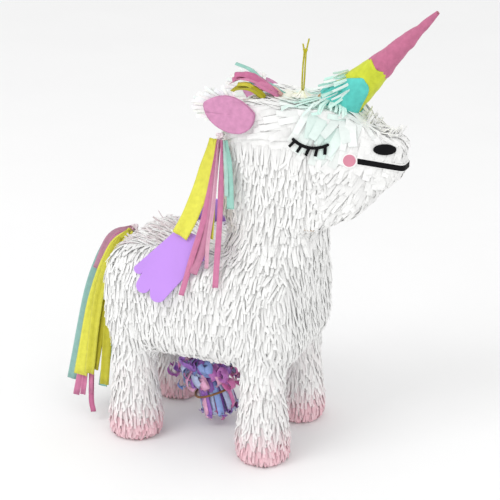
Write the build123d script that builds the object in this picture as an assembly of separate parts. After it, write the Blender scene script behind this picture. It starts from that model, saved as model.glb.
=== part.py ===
from build123d import *

# Pull-string unicorn pinata: a hollow corrugated-card animal covered in tissue fringe.
#
# Millimetres, +X towards the head, +Y the animal's left, +Z up.  The shapes below are drawn from the
# point on the ground between the four feet; on export everything moves back by BOX_MIDDLE, so that
# the origin of the finished part lies on the ground under the middle of its overall box.
# Every sub-part is one node and is written to parts/NODE.step.
# A soft covering (fringe, streamers, ribbons) is a closed solid that holds the space it fills.

import os

BOX_MIDDLE = 36.5              # how far the middle of the overall box lies ahead of the feet's centre

# ---- card and tissue ----------------------------------------------------------------------
CARD = 2.5                     # corrugated card
FRINGE = 9.0                   # depth of the glued tissue fringe over the card
HEAD_FRINGE = 6.0              # the same on the head, where it is pasted flatter
FOAM = 2.0                     # wing sheet
STICKER = 1.2                  # face stickers
EAR_CARD = 2.0
SLACK = 0.4                    # gap round a loose part

# ---- torso, a rounded card box --------------------------------------------------------------
TORSO_BACK = -113.0
TORSO_FRONT = 117.0
TORSO_HALF_WIDTH = 82.0
TORSO_BOTTOM = 122.0
TORSO_TOP = 240.0
TORSO_CORNER = 34.0            # rounding along the length
TORSO_END_ROUND = 24.0         # rounding of the two ends

# ---- legs -----------------------------------------------------------------------------------
LEG_X = 85.5
LEG_Y = 60.5
LEG_TUBE_R = 20.0
LEG_FRINGE_R = 28.0
HOOF_R = 34.5
HOOF_TOP = 36.0
LEG_TOP = 160.0                # runs into the torso, which trims it
FOOT_R = 24.0

# ---- neck column, ellipses given as (height, centre X, half length, half width) of the card ----
NECK_SECTIONS = ((165.0, 76.0, 38.0, 73.0), (215.0, 78.0, 46.0, 71.0), (250.0, 79.0, 52.0, 57.0),
                 (290.0, 79.0, 54.0, 40.0))
NECK_TOP = 290.0

# ---- head, a card box whose sides taper towards the muzzle ----------------------------------
HEAD_BACK = 23.0
HEAD_FRONT = 227.0
HEAD_TOP = 431.0
HEAD_HALF_WIDTH = 40.0
MUZZLE_HALF_WIDTH = 7.5
TAPER_START = 132.0
HEAD_BACK_ROUND = 22.0
CHEEK_ROUND = 110.0
MUZZLE_ROUND = 2.0
# side profile of the head's card, (X, Z), clockwise from the nape
HEAD_PROFILE = ((HEAD_BACK, 270), (HEAD_BACK, 396), (42, 422), (60, HEAD_TOP), (150, HEAD_TOP),
                (169, 425), (187, 412), (203, 400), (222, 398), (HEAD_FRONT, 393),
                (HEAD_FRONT, 368), (221, 357), (199, 338), (187, 320), (177, 311), (160, 304),
                (144, 296), (130, 270))

# ---- horn -----------------------------------------------------------------------------------
HORN_BASE = (167.0, 0.0, 447.0)
HORN_DIRECTION = (94.0, 0.0, 97.0)
HORN_LENGTH = 135.0
HORN_BASE_R = 19.5
HORN_TIP_R = 1.2
HORN_ROOT = 38.0               # stretch below the base point, trimmed by the head
HORN_WALL = 1.5
WRAP = 1.0                     # tissue wound on the horn
TEAL_END = 22.0                # distances along the horn at which the wrap changes colour
YELLOW_END = 45.0

# ---- trap door in the belly, with the pull ribbons --------------------------------------------
TRAP_HINGE_X = -62.0
TRAP_LENGTH = 51.0
TRAP_WIDTH = 48.0
TRAP_SWING_GAP = 2.4           # room the thick free edge needs as it swings
KNOT_X = -24.0
KNOT_Z = 105.0
KNOT_R = 5.0
BUNDLE_TILT = 16.7             # degrees from plumb, bottom towards the head
BAND_AT = 62.0                 # distance of the rubber band from the knot, along the bundle
BAND_R = 25.0
BAND_WIRE_R = 1.5

# ---- filling flap in the left flank -----------------------------------------------------------
FLAP_BACK = -38.0
FLAP_FRONT = 24.0
FLAP_BOTTOM = 158.0
FLAP_TOP = 196.2
FLAP_SWING_GAP = 2.2

# ---- hanging cord -----------------------------------------------------------------------------
CORD_X = 108.0
CORD_PIVOT_Z = 441.0
CORD_R = 1.1
CORD_KNOT_AT = 46.0            # distance of the upper knot from the pivot
CORD_TOGGLE_LENGTH = 40.0

# ---- wings ------------------------------------------------------------------------------------
LEFT_WING_BACK = 14.0          # the left wing is glued this much further back than the right

# ---- mane and tail ----------------------------------------------------------------------------
MANE_KNOT = (25.0, -45.5, 392.0)
MANE_SHEET = 3.0
TAIL_KNOT = (-112.0, 0.0, 247.0)
TAIL_LEAN = 15.6               # degrees the hanging tail leans to the right side
TAIL_SHEET = 5.5
TIE_R = 5.0


def part_box(low, high):
    """An axis-aligned box between two corners."""
    size = [b - a for a, b in zip(low, high)]
    middle = [(a + b) / 2 for a, b in zip(low, high)]
    return Pos(*middle) * Box(*size)


def side_face(*points):
    """A straight-edged face in the XZ plane, from (X, Z) points."""
    return make_face(Polyline(*[(x, 0, z) for x, z in points], close=True).edges())


def mirrored(shape):
    """The same piece on the other side of the animal."""
    return mirror(shape, about=Plane.XZ)


# ---- card bodies, each grown outwards by a chosen depth ----------------------------------------
def torso(grow):
    width = 2 * (TORSO_HALF_WIDTH + grow)
    height = TORSO_TOP - TORSO_BOTTOM + 2 * grow
    middle = (TORSO_TOP + TORSO_BOTTOM) / 2
    section = Plane((TORSO_BACK - grow, 0, middle), x_dir=(0, 1, 0), z_dir=(1, 0, 0))
    outline = section * RectangleRounded(width, height, TORSO_CORNER + grow)
    block = extrude(outline, TORSO_FRONT - TORSO_BACK + 2 * grow)
    ends = block.faces().sort_by(Axis.X)
    return fillet(ends[0].edges() + ends[-1].edges(), TORSO_END_ROUND + grow)


def neck(grow):
    rings = [Pos(x, 0, z) * Ellipse(half_length + grow, half_width + grow)
             for z, x, half_length, half_width in NECK_SECTIONS]
    return loft(rings)


def head_plan(grow):
    """The head seen from above: straight sides, a soft bend at the cheeks and a blunt muzzle."""
    corners = [(HEAD_BACK, -HEAD_HALF_WIDTH), (TAPER_START, -HEAD_HALF_WIDTH),
               (HEAD_FRONT, -MUZZLE_HALF_WIDTH), (HEAD_FRONT, MUZZLE_HALF_WIDTH),
               (TAPER_START, HEAD_HALF_WIDTH), (HEAD_BACK, HEAD_HALF_WIDTH)]
    plan = make_face(Polyline(*corners, close=True).edges())
    plan = fillet(plan.vertices().sort_by(Axis.X)[:2], HEAD_BACK_ROUND)
    plan = fillet(plan.vertices().filter_by_position(Axis.X, TAPER_START - 1, TAPER_START + 1),
                  CHEEK_ROUND)
    plan = fillet(plan.vertices().sort_by(Axis.X)[-2:], MUZZLE_ROUND)
    return offset(plan, amount=grow) if grow else plan


def head(grow):
    """Side profile and plan outline cut from one block."""
    profile = side_face(*HEAD_PROFILE)
    if grow:
        profile = offset(profile, amount=grow)
    side = extrude(profile, HEAD_HALF_WIDTH + FRINGE, both=True)
    plan = extrude(Pos(0, 0, NECK_TOP) * head_plan(grow), HEAD_TOP - NECK_TOP + FRINGE)
    return side & plan


def horn_ring(start, end, inner, outer):
    """A conical sleeve round the horn's axis, its radii given as offsets from the card cone."""
    def radius(distance, step):
        slope = (HORN_BASE_R - HORN_TIP_R) / HORN_LENGTH
        return max(HORN_BASE_R - slope * distance + step, 0.3)
    points = [(radius(start, inner), start), (radius(start, outer), start),
              (radius(end, outer), end), (radius(end, inner), end)]
    axis_plane = Plane(HORN_BASE, x_dir=(0, 1, 0), z_dir=HORN_DIRECTION)
    face = make_face(Polyline(*[(r, 0, d) for r, d in points], close=True).edges())
    return axis_plane * revolve(face, Axis.Z)


def leg_places():
    return {"front_right": (LEG_X, -LEG_Y), "front_left": (LEG_X, LEG_Y),
            "rear_right": (-LEG_X, -LEG_Y), "rear_left": (-LEG_X, LEG_Y)}


def at_each_leg(shape):
    """One copy of a shape at every leg, as a list."""
    return [Pos(x, y, 0) * shape for x, y in leg_places().values()]


def turned(points):
    """A solid of revolution about Z, from (radius, height) points."""
    return revolve(make_face(Polyline(*[(r, 0, z) for r, z in points], close=True).edges()), Axis.Z)


TORSO_CARD = torso(0)
TORSO_SKIN = torso(FRINGE)
NECK_CARD = neck(0)
NECK_SKIN = neck(FRINGE)
HEAD_CARD = head(0)
HEAD_SKIN = head(HEAD_FRINGE)
CROWN = HEAD_TOP + HEAD_FRINGE
LEG_POST = Pos(0, 0, LEG_TOP / 2) * Cylinder(LEG_TUBE_R, LEG_TOP)
HORN_SOLID = horn_ring(-HORN_ROOT, HORN_LENGTH, -HORN_BASE_R * 2, WRAP)

TRAP_OPENING = part_box((TRAP_HINGE_X, -TRAP_WIDTH / 2, TORSO_BOTTOM - 2 * FRINGE),
                        (TRAP_HINGE_X + TRAP_LENGTH, TRAP_WIDTH / 2, TORSO_BOTTOM + CARD + 1))
FLAP_OPENING = part_box((FLAP_BACK, TORSO_HALF_WIDTH - CARD - 1, FLAP_BOTTOM),
                        (FLAP_FRONT, TORSO_HALF_WIDTH + 2 * FRINGE, FLAP_TOP))


# ---- torso ---------------------------------------------------------------------------------------
def torso_shell():
    return TORSO_CARD - torso(-CARD) - TRAP_OPENING - FLAP_OPENING


def torso_fringe():
    return TORSO_SKIN - TORSO_CARD - NECK_CARD - at_each_leg(LEG_POST) - TRAP_OPENING - FLAP_OPENING


def trap_frame():
    """Card ring glued inside the belly: it stiffens the opening and stops the door."""
    floor = TORSO_BOTTOM + CARD
    border = 12.0
    lip = 4.0
    ring = part_box((TRAP_HINGE_X - border, -TRAP_WIDTH / 2 - border, floor),
                    (TRAP_HINGE_X + TRAP_LENGTH + border, TRAP_WIDTH / 2 + border, floor + CARD))
    hole = part_box((TRAP_HINGE_X + lip, -TRAP_WIDTH / 2 + lip, floor - 1),
                    (TRAP_HINGE_X + TRAP_LENGTH - lip, TRAP_WIDTH / 2 - lip, floor + CARD + 1))
    return ring - hole


def trap_slab(low, high):
    """The door's outline between two heights, with a hole for the knotted ribbon."""
    back = TRAP_HINGE_X + SLACK
    front = TRAP_HINGE_X + TRAP_LENGTH - TRAP_SWING_GAP
    half = TRAP_WIDTH / 2 - SLACK
    slab = part_box((back, -half, low), (front, half, high))
    ribbon_hole = Pos(KNOT_X, 0, (low + high) / 2) * Cylinder(2.1, high - low + 1)
    return slab - ribbon_hole


def trap_door():
    return trap_slab(TORSO_BOTTOM, TORSO_BOTTOM + CARD - SLACK)


def trap_fringe():
    return trap_slab(TORSO_BOTTOM - FRINGE + SLACK, TORSO_BOTTOM)


def ribbon_anchor():
    """Card washer inside the door, and the tied ribbon that runs from it down to the knot."""
    washer_z = TORSO_BOTTOM + CARD - SLACK
    washer = Pos(KNOT_X, 0, washer_z + 0.5) * Cylinder(6, 1.0)
    tie_height = washer_z - (KNOT_Z + KNOT_R)
    tie = Pos(KNOT_X, 0, washer_z - tie_height / 2) * Cylinder(2, tie_height)
    return washer + tie


# ---- pull ribbons ----------------------------------------------------------------------------------
def bundle_place():
    return Pos(KNOT_X, 0, KNOT_Z) * Rot(0, -BUNDLE_TILT, 0)


def ribbon_knot():
    return Pos(KNOT_X, 0, KNOT_Z) * Sphere(KNOT_R)


def ribbon_sector(start_angle, span):
    """A wedge of the gathered bundle: fanned out above the band, gathered in it, loose below."""
    outline = [(0, -5.6), (4, -5.6), (5, -15.5), (33, -29), (33, -45), (23, -53), (23, -71),
               (26, -78), (26, -88), (21, -98), (0, -98)]
    face = make_face(Polyline(*[(r, 0, z) for r, z in outline], close=True).edges())
    wedge = revolve(Rot(0, 0, start_angle) * face, Axis.Z, span)
    return bundle_place() * wedge


def rubber_band():
    return bundle_place() * Pos(0, 0, -BAND_AT) * Torus(BAND_R, BAND_WIRE_R)


# ---- filling flap ------------------------------------------------------------------------------------
def flap_slab(inner, outer):
    return part_box((FLAP_BACK + SLACK, inner, FLAP_BOTTOM + SLACK),
                    (FLAP_FRONT - SLACK, outer, FLAP_TOP - FLAP_SWING_GAP))


def fill_flap():
    return flap_slab(TORSO_HALF_WIDTH - CARD, TORSO_HALF_WIDTH)


def fill_flap_fringe():
    return flap_slab(TORSO_HALF_WIDTH, TORSO_HALF_WIDTH + FRINGE - SLACK)


# ---- neck and head -------------------------------------------------------------------------------------
def neck_tube():
    return NECK_CARD - neck(-CARD) - TORSO_CARD


def neck_fringe():
    return NECK_SKIN - NECK_CARD - TORSO_SKIN


def cord_hole():
    return Pos(CORD_X, 0, HEAD_TOP) * Cylinder(2.7, 4 * FRINGE)


def head_shell():
    """The card head, open below into the neck."""
    return HEAD_CARD - head(-CARD) - cord_hole()


def head_fringe():
    return HEAD_SKIN - HEAD_CARD - cord_hole()


# ---- legs ----------------------------------------------------------------------------------------------
def leg_tube(place):
    height = LEG_TOP - CARD
    bore = Pos(0, 0, LEG_TOP / 2) * Cylinder(LEG_TUBE_R - CARD, LEG_TOP + 2)
    tube = Pos(0, 0, CARD + height / 2) * Cylinder(LEG_TUBE_R, height) - bore
    return Pos(*place, 0) * tube - TORSO_CARD


def leg_fringe(place):
    sleeve = turned([(LEG_TUBE_R, HOOF_TOP), (33, HOOF_TOP), (31, 54), (LEG_FRINGE_R, 82),
                     (LEG_FRINGE_R, LEG_TOP), (LEG_TUBE_R, LEG_TOP)])
    return Pos(*place, 0) * sleeve - TORSO_SKIN


def hoof_fringe(place):
    sleeve = turned([(FOOT_R, 0), (HOOF_R - 1.5, 0), (HOOF_R, 16), (33, HOOF_TOP),
                     (LEG_TUBE_R, HOOF_TOP), (LEG_TUBE_R, CARD), (FOOT_R, CARD)])
    return Pos(*place, 0) * sleeve


def foot_discs():
    return Compound(at_each_leg(Pos(0, 0, CARD / 2) * Cylinder(FOOT_R, CARD)))


# ---- horn ----------------------------------------------------------------------------------------------
def horn_cone():
    return horn_ring(-HORN_ROOT, HORN_LENGTH, -HORN_WALL, 0) - HEAD_SKIN


def horn_wrap(start, end):
    return horn_ring(start, end, 0, WRAP) - HEAD_SKIN


# ---- ears ----------------------------------------------------------------------------------------------
def ear_leaf(shrink, near, far):
    """A leaf lying along the side of the head, its tip pointing back; sizes shrink towards its middle."""
    middle = (42.0, 419.0)

    def point(x, z):
        return (middle[0] + (x - middle[0]) * shrink, -near, middle[1] + (z - middle[1]) * shrink)
    upper = Spline(point(7, 431), point(38, 441), point(69, 424))
    lower = Spline(point(69, 424), point(57, 401), point(34, 400), point(7, 431))
    return extrude(make_face([upper, lower]), far - near, dir=(0, -1, 0))


def right_ear_card():
    near = HEAD_HALF_WIDTH + HEAD_FRINGE + SLACK
    return ear_leaf(1.0, near, near + EAR_CARD)


def right_ear_lining():
    near = HEAD_HALF_WIDTH + HEAD_FRINGE + SLACK + EAR_CARD
    return ear_leaf(0.86, near, near + STICKER)


# ---- face stickers --------------------------------------------------------------------------------------
def pasted(outline, both_sides=False):
    """A sticker of an (X, Z) outline, following the bend of the head's right side."""
    skin = head_plan(HEAD_FRINGE + STICKER) - head_plan(HEAD_FRINGE)
    sheet = extrude(Pos(0, 0, NECK_TOP) * skin, HEAD_TOP - NECK_TOP)
    reach = HEAD_HALF_WIDTH + FRINGE
    if both_sides:
        return sheet & extrude(outline, reach, both=True)
    return sheet & extrude(outline, reach, dir=(0, -1, 0))


def side_oval(x, z, half_length, half_height):
    return Plane((x, 0, z), x_dir=(1, 0, 0), z_dir=(0, -1, 0)) * Ellipse(half_length, half_height)


def right_eyelashes():
    """A sagging lid line with five lashes that fan out towards the nape."""
    lid_width = 3.4
    lid = ThreePointArc((115, 0, 399), (134, 0, 391), (153, 0, 395))
    sticker = pasted(make_face(offset(lid, amount=lid_width / 2, kind=Kind.ARC).edges()))
    for step in range(5):
        root = lid @ (0.06 + 0.22 * step)
        lean = 42 - 10 * step
        lash = Pos(root.X, 0, root.Z) * Rot(0, lean, 0) * side_face((-1.6, 1), (1.6, 1), (1.6, -10),
                                                                  (-1.6, -10))
        sticker += pasted(lash)
    return sticker


def nostrils():
    right = pasted(side_oval(213, 391, 12, 6.2))
    return Compound([right, mirrored(right)])


def cheek_discs():
    right = pasted(side_oval(176.5, 377.5, 6.6, 7))
    return Compound([right, mirrored(right)])


def mouth_strip():
    """One band that runs from cheek to cheek round the blunt front, lowest at the front."""
    half = 3.2
    cheek = (185, 377.0)
    front = (HEAD_FRONT + FRINGE, 369.0)
    outline = side_face((cheek[0], cheek[1] - half), (cheek[0], cheek[1] + half),
                        (front[0], front[1] + half), (front[0], front[1] - half))
    return pasted(outline, both_sides=True)


# ---- hanging cord ---------------------------------------------------------------------------------------
def cord_anchor():
    """Toggle inside the crown, the cord that rises from it, and the ball it turns on."""
    toggle_z = HEAD_TOP - CARD - 3.2
    toggle = Pos(CORD_X, 0, toggle_z) * Rot(90, 0, 0) * Cylinder(3, CORD_TOGGLE_LENGTH)
    riser = Pos(CORD_X, 0, (toggle_z + CORD_PIVOT_Z) / 2) * Cylinder(2.3, CORD_PIVOT_Z - toggle_z)
    return toggle + riser + Pos(CORD_X, 0, CORD_PIVOT_Z) * Sphere(2.3)


def hanging_cord():
    """Two strands rising from the crown to a knot, with two free ends above it."""
    knot = Pos(CORD_X, 0, CORD_PIVOT_Z + CORD_KNOT_AT) * Sphere(3)
    cord = knot
    for side in (-1, 1):
        start = 2.6
        strand_length = CORD_KNOT_AT - start
        strand = Pos(side * 1.0, 0, start + strand_length / 2) * Cylinder(CORD_R, strand_length)
        free_end = Pos(0, 0, CORD_KNOT_AT) * Rot(0, side * 14, 0) * Pos(0, 0, 8) * Cylinder(CORD_R, 16)
        cord += Pos(CORD_X, 0, CORD_PIVOT_Z) * (strand + free_end)
    return cord


def cord_patch():
    """Low cone of tissue pasted over the cord's hole."""
    cone = Pos(CORD_X, 0, CROWN + 1.5) * Cone(13, 6, 3)
    return cone - Pos(CORD_X, 0, CROWN) * Cylinder(2.7, 20)


# ---- crest, mane and tail ---------------------------------------------------------------------------------
def crest_strip(low_y, high_y, back_end, rise):
    """A strip of tissue arched back over the poll."""
    top = Spline((84, low_y, CROWN + 3), (58, low_y, CROWN + rise + 3), (26, low_y, back_end + 3))
    under = Spline((26, low_y, back_end), (58, low_y, CROWN + rise), (84, low_y, CROWN))
    ends = [Line(top @ 1, under @ 0), Line(under @ 1, top @ 0)]
    return extrude(make_face([top, under] + ends), high_y - low_y, dir=(0, 1, 0))


def mane_sheet(*corners):
    """A sheet that drapes from behind the ear over the wing, cut to an outline in (X, Z)."""
    inner = [(-49.5, 388), (-56.5, 330), (-67.5, 268), (-83.5, 240), (-99.0, 212)]
    outer = [(y - MANE_SHEET, z) for y, z in reversed(inner)]
    drape = make_face(Polyline(*[(-60, y, z) for y, z in inner + outer], close=True).edges())
    return extrude(drape, 140, dir=(1, 0, 0)) & extrude(side_face(*corners), 120, both=True)


def mane_yellow():
    return mane_sheet((15, 388), (22, 388), (-8, 273), (-26, 273))


def mane_pink():
    front_strand = mane_sheet((28, 388), (34, 388), (44, 226), (34, 226))
    back_strand = mane_sheet((22.5, 388), (27.5, 388), (18, 258), (7, 213), (-2, 213), (4, 258))
    return Compound([front_strand, back_strand])


def mane_mint():
    return mane_sheet((34.5, 388), (40, 388), (48, 312), (39.5, 312))


def mane_knot():
    return Pos(*MANE_KNOT) * Sphere(TIE_R)


def tail_strand(centre, width, layer):
    """A strip that leaves the knot, bends down and hangs; centre is (X, Z) points from top to bottom."""
    edges = []
    for side in (1, -1):
        points = []
        for (x, z), before, after in zip(centre, centre[:1] + centre, centre[1:] + centre[-1:]):
            along = Vector(after[0] - before[0], 0, after[1] - before[1]).normalized()
            half = width / 4 if (x, z) == centre[0] else width / 2
            points.append((x - side * along.Z * half, 0, z + side * along.X * half))
        edges.append(Spline(*points))
    ends = [Line(edges[0] @ 0, edges[1] @ 0), Line(edges[0] @ 1, edges[1] @ 1)]
    strand = Pos(0, layer, 0) * extrude(make_face(edges + ends), TAIL_SHEET, dir=(0, 1, 0))
    knot = Pos(*TAIL_KNOT)
    hung = knot * Rot(-TAIL_LEAN, 0, 0) * knot.inverse() * strand
    return hung - knot * Sphere(TIE_R + 0.3)


def tail_pink():
    return tail_strand([(-117, 246), (-146, 222), (-165, 150), (-163, 4)], 13, 0)


def tail_mint():
    layer = TAIL_SHEET + 0.3
    outer = tail_strand([(-118, 246), (-152, 224), (-171, 160), (-182, 42)], 15, layer)
    inner = tail_strand([(-129, 232), (-133, 205), (-134, 150), (-139, 40)], 11, layer)
    return Compound([outer, inner - outer])


def tail_yellow():
    layer = -TAIL_SHEET - 0.3
    outer = tail_strand([(-118, 244), (-138, 214), (-155, 150), (-163, 52)], 17, layer)
    inner = tail_strand([(-129, 232), (-133, 205), (-132, 150), (-128, 46)], 11, layer)
    return Compound([outer, inner - outer])


def tail_knot():
    return Pos(*TAIL_KNOT) * Sphere(TIE_R)


# ---- wings -------------------------------------------------------------------------------------------------
def right_wing():
    """A foam sheet with three rounded feathers, leaning on the shoulder of the torso."""
    lean = Plane((0, -98.6, 205), x_dir=(1, 0, 0), z_dir=(0, -1, 0.56))
    first_feather = ThreePointArc((-22, 0), (-31, -6.5), (-41.5, 0))
    first_notch = Line((-41.5, 0), (-43.4, 8.2))
    second_feather = ThreePointArc((-43.4, 8.2), (-57, 2.5), (-61.5, 13.4))
    second_notch = Line((-61.5, 13.4), (-56.7, 26.9))
    third_feather = Spline((-56.7, 26.9), (-63, 22.8), (-68.3, 26.5), (-66, 33.5))
    upper_edge = Line((-66, 33.5), (-27.5, 78))
    root = Spline((-27.5, 78), (-4.3, 79.7), (17.9, 66), (16, 50))
    lower_edge = Spline((16, 50), (-3.6, 26.3), (-22, 0))
    outline = make_face([first_feather, first_notch, second_feather, second_notch,
                         third_feather, upper_edge, root, lower_edge])
    return extrude(lean * outline, FOAM)


# ---- everything ---------------------------------------------------------------------------------------------
def all_nodes():
    nodes = {
        "torso_shell": torso_shell(), "torso_fringe": torso_fringe(), "trap_frame": trap_frame(),
        "trap_door": trap_door(), "trap_fringe": trap_fringe(), "ribbon_anchor": ribbon_anchor(),
        "ribbon_knot": ribbon_knot(), "pink_ribbons": ribbon_sector(0, 120),
        "blue_ribbons": ribbon_sector(120, 120), "violet_ribbons": ribbon_sector(240, 120),
        "rubber_band": rubber_band(), "fill_flap": fill_flap(), "fill_flap_fringe": fill_flap_fringe(),
        "neck_tube": neck_tube(), "neck_fringe": neck_fringe(), "head_shell": head_shell(),
        "head_fringe": head_fringe(), "foot_discs": foot_discs(), "horn_cone": horn_cone(),
        "horn_teal_wrap": horn_wrap(-HORN_ROOT, TEAL_END),
        "horn_yellow_wrap": horn_wrap(TEAL_END, YELLOW_END),
        "horn_pink_wrap": horn_wrap(YELLOW_END, HORN_LENGTH),
        "nostrils": nostrils(), "cheek_discs": cheek_discs(), "mouth_strip": mouth_strip(),
        "cord_anchor": cord_anchor(), "hanging_cord": hanging_cord(), "cord_patch": cord_patch(),
        "crest_mint": crest_strip(-8, 4, CROWN + 24, 17),
        "crest_pink": crest_strip(-22, -9, CROWN + 12, 19),
        "crest_yellow": crest_strip(-34, -23, CROWN + 6, 12),
        "mane_knot": mane_knot(), "mane_yellow": mane_yellow(), "mane_pink": mane_pink(),
        "mane_mint": mane_mint(), "tail_knot": tail_knot(), "tail_pink": tail_pink(),
        "tail_mint": tail_mint(), "tail_yellow": tail_yellow(),
    }
    for name, place in leg_places().items():
        nodes[name + "_leg_tube"] = leg_tube(place)
        nodes[name + "_leg_fringe"] = leg_fringe(place)
        nodes[name + "_hoof_fringe"] = hoof_fringe(place)
    pairs = {"ear_card": right_ear_card(), "ear_lining": right_ear_lining(),
             "eyelashes": right_eyelashes()}
    for name, shape in pairs.items():
        nodes["right_" + name] = shape
        nodes["left_" + name] = mirrored(shape)
    nodes["right_wing"] = right_wing()
    nodes["left_wing"] = Pos(-LEFT_WING_BACK, 0, 0) * mirrored(right_wing())
    return nodes


os.makedirs("parts", exist_ok=True)
for node, solid in all_nodes().items():
    export_step(Pos(-BOX_MIDDLE, 0, 0) * solid, "parts/" + node + ".step")
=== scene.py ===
import math
import random

import bmesh
import bpy
import numpy as np
from mathutils import Matrix, Vector, noise
from mathutils.bvhtree import BVHTree


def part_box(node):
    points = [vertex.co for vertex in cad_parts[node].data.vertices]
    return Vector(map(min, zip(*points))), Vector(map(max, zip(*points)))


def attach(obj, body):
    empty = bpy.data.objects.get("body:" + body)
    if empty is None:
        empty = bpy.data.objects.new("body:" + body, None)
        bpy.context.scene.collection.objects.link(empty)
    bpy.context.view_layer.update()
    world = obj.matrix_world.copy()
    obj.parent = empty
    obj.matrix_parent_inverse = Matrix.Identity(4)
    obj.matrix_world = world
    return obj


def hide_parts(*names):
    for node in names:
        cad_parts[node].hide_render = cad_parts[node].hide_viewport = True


# Unicorn pull-string pinata: tissue strips, streamers, ribbons, wraps and stickers round the packed
# CAD frame.  Lengths are in millimetres and turned to metres where a mesh is made.  Places are worked
# out from the point on the ground between the four feet, and a finished piece moves from there into
# the frame of the part.

MM = 0.001
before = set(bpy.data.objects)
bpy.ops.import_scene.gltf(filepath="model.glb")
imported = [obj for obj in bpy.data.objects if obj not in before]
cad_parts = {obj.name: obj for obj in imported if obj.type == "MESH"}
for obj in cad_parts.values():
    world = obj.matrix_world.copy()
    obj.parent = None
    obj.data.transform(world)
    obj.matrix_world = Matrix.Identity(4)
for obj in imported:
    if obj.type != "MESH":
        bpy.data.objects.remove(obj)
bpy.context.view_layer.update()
FEET_LOW, FEET_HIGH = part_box("foot_discs")
FEET = Vector(((FEET_LOW.x + FEET_HIGH.x) / 2, (FEET_LOW.y + FEET_HIGH.y) / 2, 0.0))

# ---- driving dimensions ------------------------------------------------------------------------
SKIN_VOXEL = 5.0               # cell of the surface the strips are glued to
SKIN_INSET = 3.5               # that surface lies this far inside the fringe's outer face
MUZZLE_INSET = 1.2             # and less on the muzzle, where the tissue is pasted flat
PAPER = 0.35                   # thickness of a tissue strip as modelled
STRIP_SEGMENTS = 4             # quads along a strip of the fringe
FOIL = 0.3                     # thickness of a curling ribbon
CREPE = 0.45                   # thickness of a streamer
CREPE_COLUMNS = 9              # points across a streamer
COVER_REACH = 9.0              # strips this near a sticker, wing, ear or mane stay under it
MUZZLE_FRONT_X = 232.5         # the mouth sticker turns round the muzzle in front of this
HORN_AXIS = Vector((94.0, 0.0, 97.0)).normalized()
HORN_ORIGIN = Vector((167.0, 0.0, 447.0))
HORN_LENGTH = 135.0
HORN_BASE_R = 19.5
HORN_TIP_R = 1.2
BUNDLE_TILT = math.radians(16.7)
BUNDLE_FREE_Y = 20.0           # beyond this the curls are pressed flat, to pass between the rear legs
BAND_AT = 62.0
BAND_R = 25.0
TAIL_LEAN = math.radians(15.6)

# ---- colours, linear ---------------------------------------------------------------------------
WHITE = (0.89, 0.89, 0.88)
ROSY = (0.85, 0.52, 0.58)
GREYPINK = (0.68, 0.56, 0.58)
MINT_WASH = (0.55, 0.83, 0.74)
LEMON_WASH = (0.86, 0.86, 0.45)
PINK = (0.60, 0.20, 0.35)
ROSE = (0.53, 0.15, 0.29)
EAR_PINK = (0.61, 0.27, 0.45)
HORN_PINK = (0.50, 0.15, 0.26)
MAUVE = (0.48, 0.24, 0.33)
YELLOW = (0.74, 0.72, 0.09)
OLIVE = (0.42, 0.38, 0.015)
CORD_OLIVE = (0.50, 0.45, 0.02)
MINT = (0.31, 0.58, 0.50)
SLATE = (0.24, 0.42, 0.40)
TEAL = (0.10, 0.56, 0.50)
LIME = (0.56, 0.62, 0.04)
BLUE = (0.27, 0.40, 0.80)
RIBBON_PINK = (0.78, 0.20, 0.50)
RIBBON_VIOLET = (0.34, 0.13, 0.56)
VIOLET = (0.20, 0.07, 0.42)


def box(node):
    """The frame box of a node, from the point between the feet, in millimetres."""
    low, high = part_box(node)
    return (low - FEET) / MM, (high - FEET) / MM


def mixed(a, b, share):
    return tuple(p + (q - p) * share for p, q in zip(a, b))


def smooth_step(value):
    value = min(max(value, 0.0), 1.0)
    return value * value * (3 - 2 * value)


# ---- thin closed sheets ------------------------------------------------------------------------
class Sheets:
    """Collects thin closed sheets for one piece; every point carries a tint and its share of the length."""

    def __init__(self):
        self.points = []
        self.faces = []
        self.tints = []
        self.count = 0

    def add(self, grid, normals, thickness, tint):
        """grid and normals are (rows, columns, 3) arrays in metres; the sheet is closed all round."""
        rows, columns = grid.shape[:2]
        layer = rows * columns
        index = np.arange(layer).reshape(rows, columns) + self.count
        under = index + layer
        faces = []
        for i in range(rows - 1):
            for j in range(columns - 1):
                faces.append((index[i, j], index[i, j + 1], index[i + 1, j + 1], index[i + 1, j]))
                faces.append((under[i, j], under[i + 1, j], under[i + 1, j + 1], under[i, j + 1]))
            faces.append((index[i, 0], index[i + 1, 0], under[i + 1, 0], under[i, 0]))
            faces.append((index[i + 1, -1], index[i, -1], under[i, -1], under[i + 1, -1]))
        for j in range(columns - 1):
            faces.append((index[0, j + 1], index[0, j], under[0, j], under[0, j + 1]))
            faces.append((index[-1, j], index[-1, j + 1], under[-1, j + 1], under[-1, j]))
        self.faces.extend(faces)
        self.points.append(grid.reshape(-1, 3))
        self.points.append((grid - normals * thickness).reshape(-1, 3))
        colour = np.ones((rows, columns, 4), np.float32)
        colour[..., :3] = tint
        # the share of the length goes in alpha, from which the tissue materials paint shade towards the root
        colour[..., 3] = np.linspace(0, 1, rows)[:, None]
        self.tints.append(np.concatenate([colour.reshape(-1, 4)] * 2))
        self.count += 2 * layer

    def mesh(self, name):
        data = bpy.data.meshes.new(name)
        data.from_pydata(np.concatenate(self.points).tolist(), [], [tuple(map(int, f)) for f in self.faces])
        tint = data.color_attributes.new("tint", "FLOAT_COLOR", "POINT")
        tint.data.foreach_set("color", np.concatenate(self.tints).ravel().astype(np.float32))
        data.update()
        return data


def add_piece(name, data, material, body, slot, *nodes):
    """Links a mesh as a piece of the object that rides on a body and stands for CAD nodes."""
    data.transform(Matrix.Translation(FEET))
    piece = bpy.data.objects.new(name, data)
    bpy.context.scene.collection.objects.link(piece)
    data.materials.clear()
    data.materials.append(material)
    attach(piece, body)
    if nodes:
        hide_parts(*nodes)
    return piece


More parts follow.
